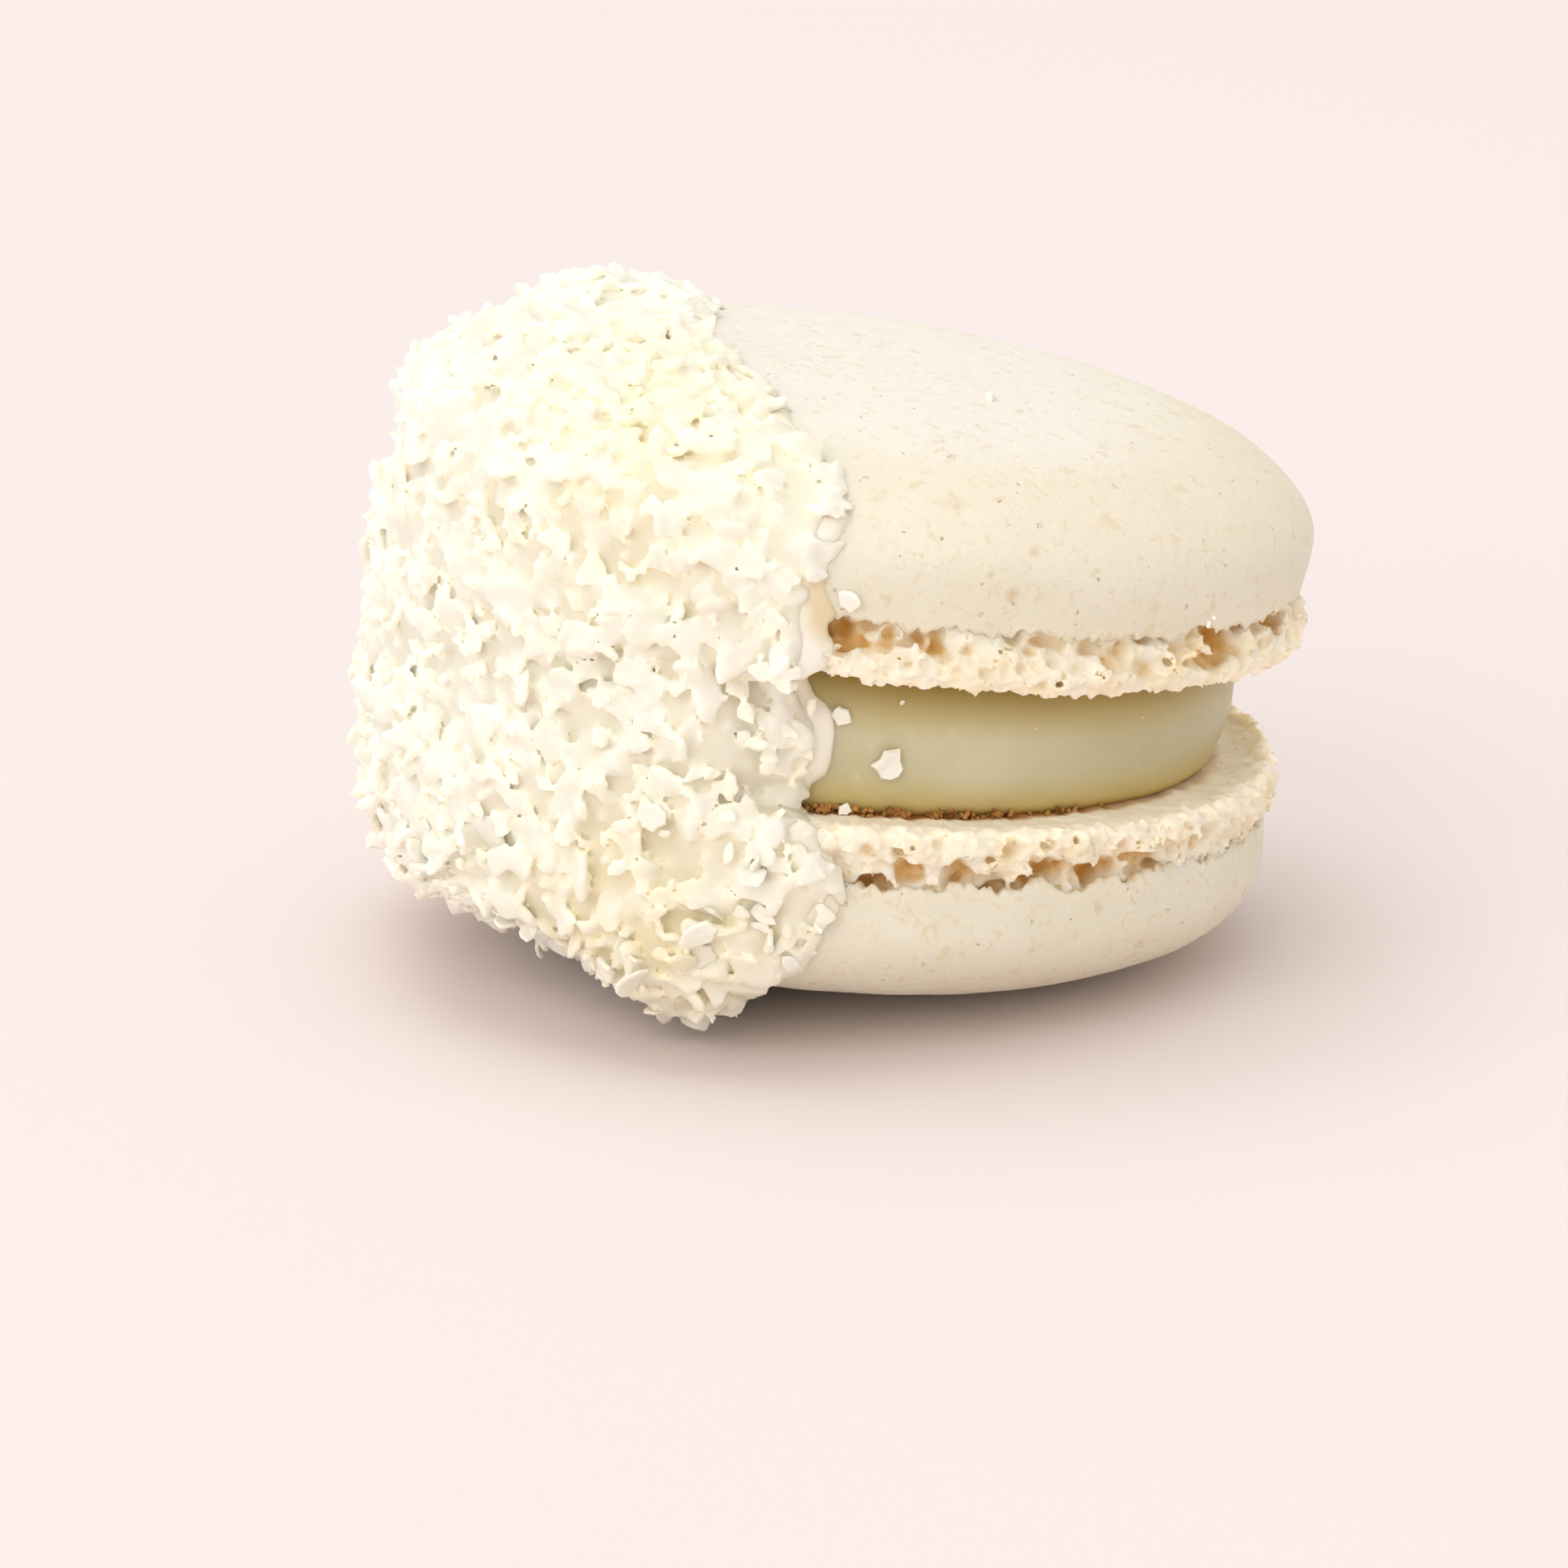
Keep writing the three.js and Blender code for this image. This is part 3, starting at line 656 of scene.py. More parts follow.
def foot(name, node, place, side, seed, lift, curl, pockets):
    """The crumbly foot: lumps, bubbles burst open under the lip and a thin torn rim.

    The rim is lifted all round, and curls up beyond that on its right.
    """
    random = np.random.default_rng(int(seed * 10))
    turn_from, turn_to = math.radians(-116), math.radians(134)
    r_axis = np.arange(18.3, 23.9, FOOT_STEP)
    a_axis = np.arange(turn_from, turn_to, FOOT_STEP / FOOT_RADIUS)
    w_axis = np.arange(-1.35, 3.75, FOOT_STEP)
    r, a, w = np.meshgrid(r_axis, a_axis, w_axis, indexing="ij")
    flat = np.stack([r, a * FOOT_RADIUS, w], -1)
    outline = np.interp(w, FOOT_OUTLINE[:, 0], FOOT_OUTLINE[:, 1])
    lumps = 0.3 * noise(flat, 1.9, seed) + 0.4 * (0.25 - np.abs(noise(flat, 1.0, seed + 1)))
    lumps += 0.5 * (0.2 - np.abs(noise(flat, 0.55, seed + 2))) + 0.2 * noise(flat, 0.36, seed + 7)
    rim_lift = (lift + curl * np.exp(-(((np.degrees(a) - 18) / 24) ** 2))) * smoothstep(r, 20.6, 22.4)
    base = -rim_lift + 0.12 * noise(flat, 1.2, seed + 3) + 0.08 * noise(flat, 0.4, seed + 4)
    rim = 0.26 * noise(flat, 0.9, seed + 5) + 0.26 * noise(flat, 0.42, seed + 6)
    base += smoothstep(r, 20.8, 22.4) * rim
    field = np.maximum((r - outline - lumps) * 0.8, base - w)
    field = np.maximum(field, w - 3.5)
    field = np.maximum(field, 18.6 - r)
    bubbles = [(math.radians(turn), level, 0.1, *rest) for turn, level, *rest in pockets]
    # Level, spread, how deep their middles lie, radius, how many.
    kinds = [(2.35, 0.25, 0.12, (0.35, 0.9), 64), (1.6, 0.5, 0.0, (0.2, 0.6), 150),
             (1.1, 0.8, 0.08, (0.12, 0.3), 420)]
    for level, spread, depth, (small, large), count in kinds:
        for _ in range(count):
            size = small + (large - small) * random.random() ** 1.6
            turn = random.uniform(turn_from, turn_to)
            height = random.normal(level, spread)
            inset = depth + random.normal(0, 0.15)
            bubbles.append((turn, height, inset, size, random.uniform(1.0, 2.0), random.normal(0, 0.35)))
    for turn, level, depth, size, long, slant in bubbles:
        middle = np.interp(level, FOOT_OUTLINE[:, 0], FOOT_OUTLINE[:, 1]) - depth
        wide = 1.5 * size * long
        ia = np.searchsorted(a_axis, [turn - wide / FOOT_RADIUS, turn + wide / FOOT_RADIUS])
        ir = np.searchsorted(r_axis, [middle - 2 * size, middle + 2 * size])
        iw = np.searchsorted(w_axis, [level - wide, level + wide])
        part = (slice(*ir), slice(*ia), slice(*iw))
        if min(ia[1] - ia[0], ir[1] - ir[0], iw[1] - iw[0]) <= 0:
            continue
        side_on, up_on = (a[part] - turn) * FOOT_RADIUS, w[part] - level
        along = side_on * math.cos(slant) + up_on * math.sin(slant)
        up = up_on * math.cos(slant) - side_on * math.sin(slant)
        away = np.sqrt(((r[part] - middle) / 1.2) ** 2 + (along / long) ** 2 + up ** 2)
        field[part] = np.maximum(field[part], size * (1 + 0.5 * noise(flat[part], 0.7, seed)) - away)
    field[[0, -1]] = field[:, [0, -1]] = 1
    field[:, :, [0, -1]] = 1
    points, quads = surface_nets(field.astype(np.float32))
    r_p = r_axis[0] + points[:, 0] * FOOT_STEP
    a_p = a_axis[0] + points[:, 1] * FOOT_STEP / FOOT_RADIUS
    w_p = w_axis[0] + points[:, 2] * FOOT_STEP
    where = drawn_in(place.world(r_p, a_p, side * w_p))
    depth = np.interp(w_p, FOOT_OUTLINE[:, 0], FOOT_OUTLINE[:, 1]) - r_p
    # Painted shade: inner and deep grow with how far into the foot's hollows a point lies.
    inner = smoothstep(depth, 0.25, 0.95) * smoothstep(w_p, 0.2, 0.6)
    degrees = np.degrees(a_p)
    # Painted shadow in the groove by the cream, partly browning: strongest at the front and in one stretch
    # behind.
    groove_darkening = 0.2 + 0.8 * np.exp(-(((degrees + 78) / 36) ** 2))
    groove_darkening = groove_darkening + 0.5 * np.exp(-(((degrees - 70) / 30) ** 2))
    baked = groove_darkening * (1 - smoothstep(r_p, 19.5, 20.1)) * (1 - smoothstep(w_p, 0.3, 0.8))
    # face is painted light on the lower foot's flat top face.
    piece = mesh_piece(name, where, quads[:, ::side], FOOT, "shell", [node],
                       cavity=np.maximum(inner, baked), baked=baked, side=smoothstep(w_p, 0.15, 0.5),
                       deep=smoothstep(depth, 0.8, 1.5), face=(side < 0) * (1 - smoothstep(w_p, 0.1, 0.4)))
    thinned(piece, FOOT_TRIANGLES)


cap("upper_cap", "upper_shell", UPPER, 1, UPPER_HEIGHT, 8.2)
cap("lower_cap", "lower_shell", LOWER, -1, LOWER_HEIGHT, 3.7)
foot("upper_foot", "upper_shell", UPPER, 1, 5.1, 0.12, 0, UPPER_POCKETS)
foot("lower_foot", "lower_shell", LOWER, -1, 2.3, 0.1, 0.75, LOWER_POCKETS)

# ---- Filling ----


def filling():
    """Cream between the tilted base planes, bulging a little and tucked in at both faces."""
    count = 420
    rows = 40
    sunk = 0.12
    angle = np.arange(count) * 2 * math.pi / count
    points = []
    edge_shades = []
    shades = []
    levels = np.concatenate([[0, 0, 0], np.linspace(0, 1, rows), [1, 1, 1]])
    insets = np.concatenate([[12, 4, 0.8], np.zeros(rows), [0.8, 4, 12]])
    for level, inset in zip(levels, insets):
        low = LOWER.world(np.full(count, FILLING_RADIUS), angle, np.full(count, -sunk))
        bulge = FILLING_BULGE * math.sin(math.pi * level)
        tuck = 0.4 * (1 - min(1, level / 0.08)) ** 2 + 0.3 * (1 - min(1, (1 - level) / 0.05)) ** 2
        wave = 0.14 * noise(low + [0, 0, 8 * level], 7, 4) + 0.05 * noise(low + [0, 0, 8 * level], 2.2, 5)
        radius = FILLING_RADIUS + bulge - tuck + wave - inset
        bottom = LOWER.world(radius, angle, np.full(count, -sunk))
        top = UPPER.world(radius, angle, np.full(count, sunk))
        points.append(bottom + (top - bottom) * level)
        # Painted shade near both shells.
        edge_shades.append(max(1 - level / 0.3, 1 - (1 - level) / 0.45, 0))
        # Painted shadow under the upper shell.
        shades.append(min(max((level - 0.55) / 0.38, 0), 1) ** 1.5)
    points = np.concatenate([*points, [points[0].mean(0), points[-1].mean(0)]])
    # away is painted shade on the cream's right side.
    mesh_piece("buttercream", points, stacked([count] * len(levels)), CREAM, "filling", ["filling"],
               rim=[*np.repeat(edge_shades, count), 0, 0], under=[*np.repeat(shades, count), 0, 0],
               away=0.8 * smoothstep(points[:, 0], -4, 9))


filling()

# ---- Chocolate coat ----


def shell_distance(points, place, side, height):
    """Roughly how far points lie outside a plain shell, in millimetres."""
    radius, _, level = place.local(points)
    level = side * level
    above = np.maximum(level - WIDEST_LEVEL, 0) / (height - WIDEST_LEVEL)
    across = np.maximum(radius, 0.01) / CAP_RADIUS
    value = across ** CAP_SQUARENESS + above ** 2
    slope = np.hypot(CAP_SQUARENESS * across ** (CAP_SQUARENESS - 1) / CAP_RADIUS,
                     2 * above / (height - WIDEST_LEVEL))
    over_cap = (value - 1) / np.maximum(slope, 0.05)
    beside_foot = radius - FOOT_RADIUS
    outside = np.where(level > WIDEST_LEVEL, over_cap, beside_foot)
    return np.maximum(outside, -level)


def melted(one, other, soft):
    """The union of two fields, rounded where they meet."""
    mix = np.clip(0.5 + 0.5 * (one - other) / soft, 0, 1)
    return one * (1 - mix) + other * mix - soft * mix * (1 - mix)


def coat_field(points):
    """Negative inside the chocolate."""
    depth = dip_depth(points)
    low = LOWER.local(points)
    high = UPPER.local(points)
    hug = FILLING_RADIUS + FILLING_BULGE
    gap_radius = hug + (GROOVE_RADIUS - hug) * smoothstep(depth, 0.5, 6)
    gap = np.maximum(np.maximum(low[0] - gap_radius, -low[2] - 0.5), high[2] - 0.5)
    shells = np.minimum(shell_distance(points, LOWER, -1, LOWER_HEIGHT),
                        shell_distance(points, UPPER, 1, UPPER_HEIGHT))
    body = melted(gap, shells, 0.9)
    near = np.abs(body) < 3
    close = points[near]
    lumps = np.zeros(len(points), np.float32)
    lumps[near] = 0.4 * noise(close, 3.1, 6) + 0.25 * noise(close, 7, 2) + 0.15 * noise(close, 1.4, 3)
    ragged = np.zeros(len(points), np.float32)
    ragged[near] = 0.3 * noise(close, 1.8, 9) + 0.3 * noise(close, 0.8, 10)
    inside = smoothstep(depth, 0, 3.5)
    edge = np.clip((depth + ragged) / 1.6, -1, 1)
    film = 1 - smoothstep(np.abs(points[:, 2] - 23), 1.0, 3.0)
    thick = np.where(edge > 0, np.maximum(1 - (1 - edge) ** 2, 0) ** (0.7 + 0.8 * film), 3 * edge)
    thick = COAT_THICKNESS * thick + inside * lumps
    for middle, spread, rise in MOUNDS:
        thick = thick + rise * inside * np.exp(-((points - np.array(middle)) ** 2).sum(-1) / spread ** 2)
    return np.maximum(body - thick, -(body + COAT_DEPTH))


def creamy(points):
    """How strongly chocolate shows through the coconut at world points."""
    total = np.zeros(len(points))
    for middle, spread, strength in CREAMY:
        total += strength * np.exp(-((points - np.array(middle)) ** 2).sum(-1) / spread ** 2)
    return np.minimum(total, 1)


def coat_grid(step):
    """Points all over the coat's box."""
    axes = [np.arange(low, high, step) for low, high in zip(COAT_LOW, COAT_HIGH)]
    return np.stack(np.meshgrid(*axes, indexing="ij"), -1)


def coat():
    """The chocolate itself, yellowish where it is a thin film at its edge, most beside the upper foot, where
    the colour is also painted shade.
    """
    grid = coat_grid(COAT_STEP)
    field = coat_field(grid.reshape(-1, 3)).reshape(grid.shape[:3])
    field = np.maximum(field, 0.02 - grid[..., 2])
    points, quads = surface_nets(field.astype(np.float32))
    points = drawn_in(COAT_LOW + points * COAT_STEP)
    depth = dip_depth(points)
    # Beside the upper foot the edge colour is also painted shade.
    beside_foot = 1 - smoothstep(np.abs(points[:, 2] - 23), 1.0, 2.5)
    thin = (0.15 + 0.65 * beside_foot) * (1 - smoothstep(depth, 0.3 * beside_foot, 0.7 + 1.0 * beside_foot))
    piece = mesh_piece("white_chocolate_coat", points, quads, CHOCOLATE, "coating", ["coating"],
                       creamy=creamy(points), thin=thin)
    thinned(piece, COAT_TRIANGLES)
    return piece


coat_piece = coat()

# ---- Coconut and crumbs ----


def surface_samples(piece, count, random):
    """Random points and outward normals all over a piece, in millimetres."""
    mesh = piece.data
    mesh.calc_loop_triangles()
    corners = np.empty(len(mesh.loop_triangles) * 3, np.int32)
    mesh.loop_triangles.foreach_get("vertices", corners)
    spots = np.empty(len(mesh.vertices) * 3, np.float32)
    mesh.vertices.foreach_get("co", spots)
    triangles = spots.reshape(-1, 3)[corners.reshape(-1, 3)] / MM
    normal = np.cross(triangles[:, 1] - triangles[:, 0], triangles[:, 2] - triangles[:, 0])
    area = np.linalg.norm(normal, axis=1)
    pick = random.choice(len(area), count, p=area / area.sum())
    u, v = random.random((2, count, 1))
    u, v = np.where(u + v > 1, 1 - u, u), np.where(u + v > 1, 1 - v, v)
    a, b, c = triangles[pick, 0], triangles[pick, 1], triangles[pick, 2]
    return a + u * (b - a) + v * (c - a), normal[pick] / area[pick, None]


def chip_shape(random, corners, thickness, bend, narrow, levels, breaks=2):
    """Unit chip: an uneven outline with worn edges, cupped a little; levels are (inset, height) pairs."""
    angle = (np.arange(corners) + random.uniform(-0.3, 0.3, corners)) * 2 * math.pi / corners
    reach = 0.44 + random.uniform(-0.055, 0.055, corners)
    for waves in (2, 3, 5):
        reach += 0.05 * np.sin(waves * angle + random.uniform(0, 6))
    outline = np.stack([reach * np.cos(angle), narrow * reach * np.sin(angle)], 1)
    for _ in range(breaks):
        broken = random.uniform(0, 2 * math.pi)
        broken = np.array([math.cos(broken), math.sin(broken)])
        across = outline @ broken
        outline -= np.maximum(across - random.uniform(0.6, 0.95) * across.max(), 0)[:, None] * broken
    half = thickness / 2
    points = [np.column_stack([outline * inset, np.full(corners, half * z)]) for inset, z in levels]
    points = np.concatenate([*points, [[0, 0, -half], [0, 0, half]]])
    twist = random.uniform(-0.15, 0.15)
    points[:, 2] += bend * points[:, 0] ** 2 * 4 + twist * points[:, 0] * points[:, 1] * 4
    return points, stacked([corners] * len(levels))


def granule_shape(random):
    """Unit crumb: a knobbly lump of twenty faces."""
    golden = (1 + 5 ** 0.5) / 2
    points = np.array([(-1, golden, 0), (1, golden, 0), (-1, -golden, 0), (1, -golden, 0),
                       (0, -1, golden), (0, 1, golden), (0, -1, -golden), (0, 1, -golden),
                       (golden, 0, -1), (golden, 0, 1), (-golden, 0, -1), (-golden, 0, 1)], float)
    faces = np.array([(0, 11, 5), (0, 5, 1), (0, 1, 7), (0, 7, 10), (0, 10, 11), (1, 5, 9), (5, 11, 4),
                      (11, 10, 2), (10, 7, 6), (7, 1, 8), (3, 9, 4), (3, 4, 2), (3, 2, 6), (3, 6, 8),
                      (3, 8, 9), (4, 9, 5), (2, 4, 11), (6, 2, 10), (8, 6, 7), (9, 8, 1)])
    points = points / 3.8 * random.uniform(0.75, 1.15, (12, 1)) * random.uniform(0.6, 1.0, 3)
    return points, faces


def turns(normal, spin, tilt):
    """Rotation matrices that stand a chip's Z on the normal, spin it and tip it over."""
    helper = np.where(np.abs(normal[:, 2:]) < 0.9, [[0, 0, 1.0]], [[1.0, 0, 0]])
    x = np.cross(helper, normal)
    x /= np.linalg.norm(x, axis=1, keepdims=True)
    y = np.cross(normal, x)
    c, s = np.cos(spin)[:, None], np.sin(spin)[:, None]
    x, y = c * x + s * y, c * y - s * x
    c, s = np.cos(tilt)[:, None], np.sin(tilt)[:, None]
    x, z = c * x + s * normal, c * normal - s * x
    return np.stack([x, y, z], 2)


def soaked(points):
    """1 where coconut is sunk in chocolate, fading to 0 clear of it."""
    return 1 - smoothstep(coat_field(drawn_in(points, -1)), -0.1, 0.45)


def finer(field):
    """A field on a grid of half the step."""
    for axis in range(3):
        field = np.moveaxis(field, axis, 0)
        fine = np.empty((2 * len(field) - 1, *field.shape[1:]), np.float32)
        fine[::2] = field
        fine[1::2] = (field[1:] + field[:-1]) / 2
        field = np.moveaxis(fine, 0, axis)
    return np.ascontiguousarray(field)


def press_in(field, tint, spot, frame, size, flake, shade):
    """Melts one soft-edged flake into the bed's field, and sets its shade where it's outermost."""
    waves, cuts, narrow, thickness, bend, blend = flake
    reach = 0.6 * size + 0.4
    first = np.maximum(((spot - reach - COAT_LOW) / BED_STEP).astype(int), 0)
    last = np.minimum(first + int(2 * reach / BED_STEP) + 2, field.shape)
    part = tuple(slice(a, b) for a, b in zip(first, last))
    gx, gy, gz = np.ogrid[part]
    gx, gy, gz = (COAT_LOW[k] + BED_STEP * grid - spot[k] for k, grid in enumerate((gx, gy, gz)))
    x, y, z = (frame[0, k] * gx + frame[1, k] * gy + frame[2, k] * gz for k in range(3))
    z = z - 4 * bend * x * x / size
    y = y / narrow
    angle = np.arctan2(y, x)
    edge = 0.44 + sum(depth * np.sin(count * angle + phase) for count, depth, phase in waves)
    half = 0.5 * thickness
    across = np.hypot(x, y) - size * edge
    for turn, far in cuts:
        across = np.maximum(across, x * math.cos(turn) + y * math.sin(turn) - far * size)
    across = across * narrow + 0.5 * half
    through = np.abs(z) - 0.5 * half
    away = np.minimum(np.maximum(across, through), 0)
    away += np.hypot(np.maximum(across, 0), np.maximum(through, 0)) - 0.5 * half
    tint[part] = np.where(away < field[part], shade, tint[part])
    field[part] = melted(away, field[part], blend)


def sizes_and_tilts(random, count, sizes, power, steep, tipped, sway):
    """Sizes between two, more of them small for a higher power, and tilts, a share of them steep."""
    least, most = sizes
    drawn = least + (most - least) * random.random(count) ** power
    stands = random.random(count) < steep
    up = random.uniform(tipped, 1.1, count)
    return drawn, np.where(stands, up, np.abs(random.normal(0, sway, count)))


def coconut_bed():
    """Coconut pressed into the chocolate: flakes melted together into one soft, rough surface."""
    random = np.random.default_rng(7)
    coarse = coat_grid(2 * BED_STEP)
    grid = coarse.reshape(-1, 3)
    back = 0.29 * (1 - smoothstep(dip_depth(grid), 0.4, 1.6))
    field = coat_field(grid) - 0.07 + back + 0.3 * (grid[:, 2] < 0.5)
    field = finer(field.reshape(coarse.shape[:3]).astype(np.float32))
    tint = np.zeros(field.shape, np.float32)
    kinds = (
        # count, sizes, bias to the small, share that is steep, lift, margin, thickness, and how much
        # it keeps to the middle of the dipped end, or away from it
        (440, (2.0, 3.3), 1.3, 0.15, 0.3, 0.5, (0.32, 0.45), -0.8),
        (2500, (1.1, 2.3), 1.2, 0.2, 0.5, 0.1, (0.28, 0.4), -0.35),
        (4000, (0.6, 1.4), 1.0, 0.3, 0.55, -0.1, (0.26, 0.38), 0.4),
    )
    for count, between, power, steep, lift, margin, (thin, thick), liking in kinds:
        spots, normals = outer_spots(coat_piece, count, margin, random)
        fluffy = fluffiness(spots)
        share = 1 + liking * fluffy if liking < 0 else 1 - liking * (1 - fluffy)
        keep = random.random(len(spots)) < share
        spots, normals = drawn_in(spots[keep], -1), normals[keep]
        n = len(spots)
        depth = dip_depth(spots)
        sizes, tilts = sizes_and_tilts(random, n, between, power, steep, 0.5, 0.35)
        sunk = np.maximum(smoothstep(spots[:, 2], 19, 25), 0.6 * (1 - smoothstep(spots[:, 0], -31, -27)))
        tilts *= (1 - 0.3 * sunk) * (0.2 + 0.8 * smoothstep(depth, 0.3, 2.0))
        frames = turns(normals, random.uniform(0, 2 * math.pi, n), tilts)
        mound = 0.25 * noise(spots, 2.6, 21) + 0.25 * noise(spots, 1.2, 22)
        lifts = (lift * random.uniform(-0.3, 1.0, n) + mound) * (1 - 0.35 * sunk)
        lifts = (lifts + 0.15 * sizes * np.sin(tilts)) * (0.5 + 0.5 * smoothstep(depth, 0.2, 1.6))
        spots += normals * lifts[:, None]
        for k in range(n):
            waves = [(turns_round, random.uniform(0.2, 1) * 0.16 / turns_round, random.uniform(0, 6))
                     for turns_round in (2, 3, 5, 7, 11)]
            cuts = [(random.uniform(0, 2 * math.pi), random.uniform(0.25, 0.4)) for _ in range(3)]
            flake = (waves, cuts, random.uniform(0.5, 0.95), random.uniform(thin, thick),
                     random.uniform(-0.2, 0.2), 0.03)
            press_in(field, tint, spots[k], frames[k], sizes[k], flake, 0.05 + random.random())
    # Narrow pits are filled up to a little below a blurred copy of the surface.
    filled = field
    for axis in (0, 1, 2) * 8:
        filled = 0.5 * filled + 0.25 * (np.roll(filled, 1, axis) + np.roll(filled, -1, axis))
    field = np.minimum(field, filled + 0.1)
    below_floor = 0.05 - COAT_LOW[2] - BED_STEP * np.arange(field.shape[2])
    field = np.maximum(field, below_floor.astype(np.float32))
    points, quads = surface_nets(field.astype(np.float32))
    nearest = np.minimum(np.round(points).astype(int), np.array(field.shape) - 1)
    shade = tint[tuple(nearest.T)]
    points = COAT_LOW + points * BED_STEP
    clear = coat_field(points)
    quads = quads[(clear[quads].max(1) > -0.15) & (dip_depth(points[quads].mean(1)) > -0.8)]
    # Painted shade: low parts of a flake, near the chocolate, count as more soaked.
    flake = smoothstep(clear, 0.02, 0.2) * (0.6 + 0.4 * smoothstep(clear, 0.1, 0.6)) * (shade > 0)
    points = drawn_in(points)
    shown = creamy(points)
    soaked_and_shaded = 1 - flake * (1 - 0.45 * np.minimum(shade, 1) ** 2 - 0.5 * shown)
    used, faces = np.unique(quads, return_inverse=True)
    piece = mesh_piece("coconut_bed", points[used], faces.reshape(-1, 4), COCONUT, "coconut", ["coating"],
                       soaked=soaked_and_shaded[used], creamy=shown[used])
    behind = points[used, 1] + 0.5 * points[used, 0] > -14
    thinned(piece, BED_TRIANGLES, behind)
    piece.data.set_sharp_from_angle(angle=math.radians(50))
    return piece


def scatter(name, shapes, spots, normals, sizes, tilts, lifts, random, replaced,
            material=LOOSE_COCONUT, slot="coconut"):
    """One joined mesh with a randomly chosen shape at each spot."""
    kind = random.integers(0, len(shapes), len(spots))
    frames = turns(normals, random.uniform(0, 2 * math.pi, len(spots)), tilts)
    all_points = []
    all_faces = []
    total = 0
    for number, (points, faces) in enumerate(shapes):
        chosen = np.flatnonzero(kind == number)
        placed = np.einsum("nij,pj->npi", frames[chosen], points) * sizes[chosen, None, None]
        placed += (spots[chosen] + normals[chosen] * lifts[chosen, None])[:, None]
        all_points.append(placed.reshape(-1, 3))
        offsets = total + np.arange(len(chosen))[:, None, None] * len(points)
        all_faces.append((faces[None] + offsets).reshape(-1, 3))
        total += len(chosen) * len(points)
    points = np.concatenate(all_points)
    shown = creamy(points)
    mesh_piece(name, points, np.concatenate(all_faces), material, slot, replaced, smooth=False,
               soaked=0.6 * soaked(points) + 0.4 * shown, creamy=shown)


def outer_spots(piece, count, margin, random):
    """Spots on the outside of the coat, margin from its edge and more beside the filling, where it ran."""
    spots, normals = surface_samples(piece, 4 * count, random)
    centre = (LOWER.base + UPPER.base) / 2
    offset = spots - dip_middle
    turn = np.degrees(np.arctan2(offset @ dip_top, offset @ dip_front))
    smear = 0.8 * smoothstep(turn, -14, -9) * (1 - smoothstep(turn, 12, 20))
    smear += 0.7 * smoothstep(turn, 5, 8) * (1 - smoothstep(turn, 14, 20))
    depth = dip_depth(spots) - smear
    outward = ((spots - centre) * normals).sum(1) > 0
    keep = outward & (depth > margin + 0.5 * noise(spots, 2.5, 8)) & (spots[:, 2] > 0.1)
    return spots[keep][:count], normals[keep][:count]


def fluffiness(points):
    """1 where the coconut is mostly fine crumbs, in the middle of the dipped end, and 0 elsewhere."""
    return np.exp(-((points - np.array([-27.0, -13.0, 18.0])) ** 2).sum(-1) / 100)


def loose_coconut():
    """Large and medium flakes that stick out of the bed, low on its front."""
    random = np.random.default_rng(42)
    worn = [(0.75, -1), (0.98, -0.6), (1, 0.2), (0.86, 1)]
    plain = [(0.9, -1), (1, 0), (0.85, 1)]

    def chips(count, corners, thickness, bend, narrow, levels):
        return [chip_shape(random, random.integers(*corners), random.uniform(*thickness),
                           random.uniform(-bend, bend), random.uniform(*narrow), levels)
                for _ in range(count)]

    large = chips(16, (13, 16), (0.07, 0.12), 0.18, (0.5, 0.95), worn)
    medium = chips(30, (10, 13), (0.09, 0.15), 0.2, (0.45, 0.95), plain)
    kinds = (
        # name, shapes, count, sizes, bias to the small, share that is steep, margin, fewer in the middle
        ("coconut_flakes_large", large, 110, (2.0, 3.0), 1.5, 0.04, 0.6, 1),
        ("coconut_flakes_medium", medium, 480, (1.0, 2.2), 1.3, 0.08, 0.2, 0.5),
    )
    for name, shapes, count, between, power, steep, margin, fewer in kinds:
        spots, normals = outer_spots(bed, count, margin, random)
        share = 1 - fewer * fluffiness(spots)
        share = share * smoothstep(spots[:, 0], -32, -22) * (1 - smoothstep(spots[:, 2], 9, 14))
        share = share * (spots[:, 1] < -3) * (spots[:, 2] > 2)
        keep = random.random(len(spots)) < share
        spots, normals = spots[keep], normals[keep]
        n = len(spots)
        sizes, tilts = sizes_and_tilts(random, n, between, power, steep, 0.4, 0.22)
        lifts = 0.35 * random.uniform(-0.1, 1, n) + 0.15 * sizes * np.sin(tilts)
        scatter(name, shapes, spots, normals, sizes, tilts, lifts, random, ["coating"])


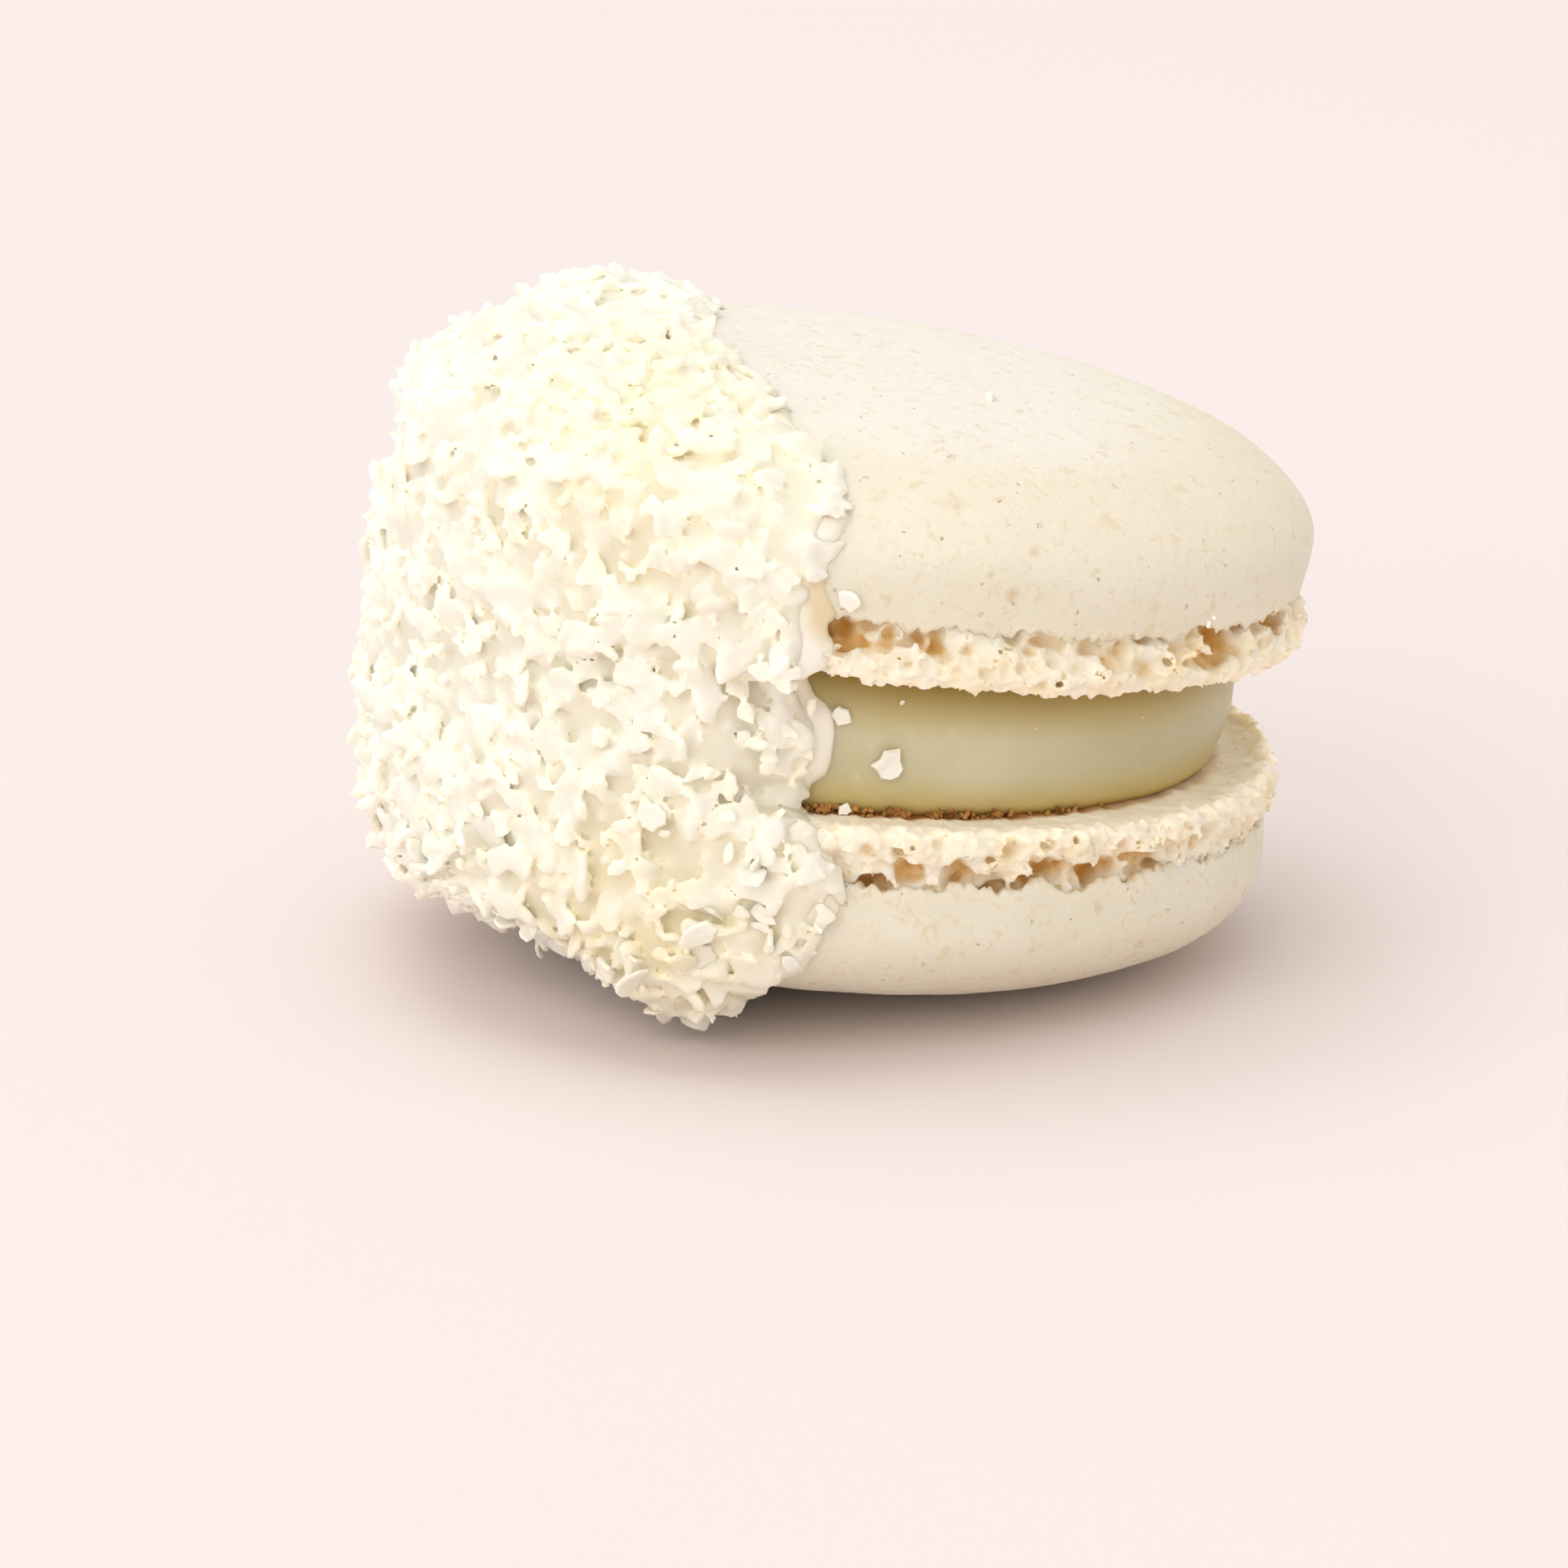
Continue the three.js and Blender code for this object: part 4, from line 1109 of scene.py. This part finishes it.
def strays():
    """Bits of coconut that stick to the cream and to the upper shell away from the coat."""
    random = np.random.default_rng(9)
    plain = [(0.85, -1), (1, 0), (0.85, 1)]
    shapes = [chip_shape(random, 11, 0.25, 0.1, 0.9, plain, 0) for _ in range(5)]
    on_cream = [
        (LOWER, 2.5, -19.85, 2.67, 1.75), (LOWER, 0.1, -20.05, 4.86, 1.1), (LOWER, 0.68, -19.7, 0.3, 0.75),
        (LOWER, 5.3, -19.2, 4.47, 0.35), (LOWER, 2.85, -19.8, 5.67, 0.3), (LOWER, 10.5, -16.9, 3.69, 0.2),
    ]
    on_shell = [
        (UPPER, -0.76, -22.5, 3.6, 1.3), (UPPER, 16.34, -16.1, 3.25, 0.4), (UPPER, 16.6, -15.7, 3.5, 0.3),
        (UPPER, 5.3, -6.4, 10.3, 1.3),
    ]
    for name, node, places in (("coconut_on_cream", "filling", on_cream),
                               ("coconut_on_shell", "upper_shell", on_shell)):
        spots = np.array([place.base + place.turn @ [x, y, z] for place, x, y, z, _ in places])
        normals = spots - (LOWER.base + UPPER.base) / 2
        normals[:, 2] *= 0.3
        normals /= np.linalg.norm(normals, axis=1, keepdims=True)
        sizes = np.array([place[-1] for place in places])
        tilts = random.uniform(0.1, 0.7, len(places))
        scatter(name, shapes, spots, normals, sizes, tilts, 0.1 + 0 * sizes, random, [node])


def baked_crumbs():
    """Crumbs in the groove between the cream and the lower shell, their brown partly their own and partly
    painted shadow of the groove.
    """
    random = np.random.default_rng(5)
    shapes = [granule_shape(random) for _ in range(6)]
    front = random.uniform(-100, -40, 560)
    front = front[random.random(560) < 1 - smoothstep(front, -80, -40)]
    angle = np.radians(np.concatenate([front, random.normal(70, 25, 140)]))
    count = len(angle)
    heaped = smoothstep(noise(LOWER.world(FILLING_RADIUS, angle, 0 * angle), 1.3, 3), -0.1, 0.25)
    heaped = np.maximum(heaped, 1 - smoothstep(np.degrees(angle), -86, -80))
    rise = random.random(count) ** 1.5 * heaped
    radius = FILLING_RADIUS + 0.1 + 0.15 * rise + random.normal(0, 0.12, count)
    spots = LOWER.world(radius, angle, 0.5 * rise - 0.12)
    normals = np.tile(LOWER.turn[:, 2], (count, 1))
    sizes = random.uniform(0.12, 0.3, count) * (1 + 0.5 * heaped)
    scatter("baked_crumbs", shapes, spots, normals, sizes, random.uniform(0, 1.5, count), 0 * sizes, random,
            ["lower_shell"], CRUMB_AND_SHADOW, "shell")


bed = coconut_bed()
loose_coconut()
baked_crumbs()
strays()

# ---- Floor, lights and camera ----


def floor():
    mesh = bpy.data.meshes.new("floor")
    reach = 6.0
    corners = [(-reach, -reach, 0), (reach, -reach, 0), (reach, reach, 0), (-reach, reach, 0)]
    mesh.from_pydata(corners, [], [(0, 1, 2, 3)])
    mesh.materials.append(floor_look())
    piece = bpy.data.objects.new("floor", mesh)
    bpy.context.collection.objects.link(piece)


def area_light(name, place, size, power):
    """A square light that faces the origin; metres and watts."""
    data = bpy.data.lights.new(name, "AREA")
    data.size = size
    data.energy = power
    light = bpy.data.objects.new(name, data)
    light.location = place
    light.rotation_euler = (-Vector(place)).to_track_quat("-Z", "Y").to_euler()
    bpy.context.collection.objects.link(light)


def lights():
    world = bpy.data.worlds.new("studio")
    world.use_nodes = True
    background = world.node_tree.nodes["Background"]
    background.inputs["Color"].default_value = (1, 1, 1, 1)
    background.inputs["Strength"].default_value = 0.8
    bpy.context.scene.world = world
    area_light("overhead_panel", (-0.6, 0.4, 2.9), 2.2, 27.0)
    area_light("front_panel", (-1.4, -2.2, 1.5), 2.2, 26.0)


def camera():
    """The photograph's view: 27 cm from the macaron, 8 cm up and looking down by 16 degrees."""
    yaw = math.radians(0.026)
    pitch = math.radians(90 - 15.85)
    roll = math.radians(-0.23)
    data = bpy.data.cameras.new("camera")
    data.sensor_width = 36
    data.lens = 125.06
    data.clip_start = 0.01
    eye = bpy.data.objects.new("camera", data)
    eye.location = np.array((-11.99, -267.72, 83.19)) * MM
    turn = Matrix.Rotation(yaw, 3, "Z") @ Matrix.Rotation(pitch, 3, "X") @ Matrix.Rotation(roll, 3, "Z")
    eye.rotation_euler = turn.to_euler()
    bpy.context.collection.objects.link(eye)
    bpy.context.scene.camera = eye


floor()
lights()
camera()
bpy.context.scene.view_settings.view_transform = "Standard"
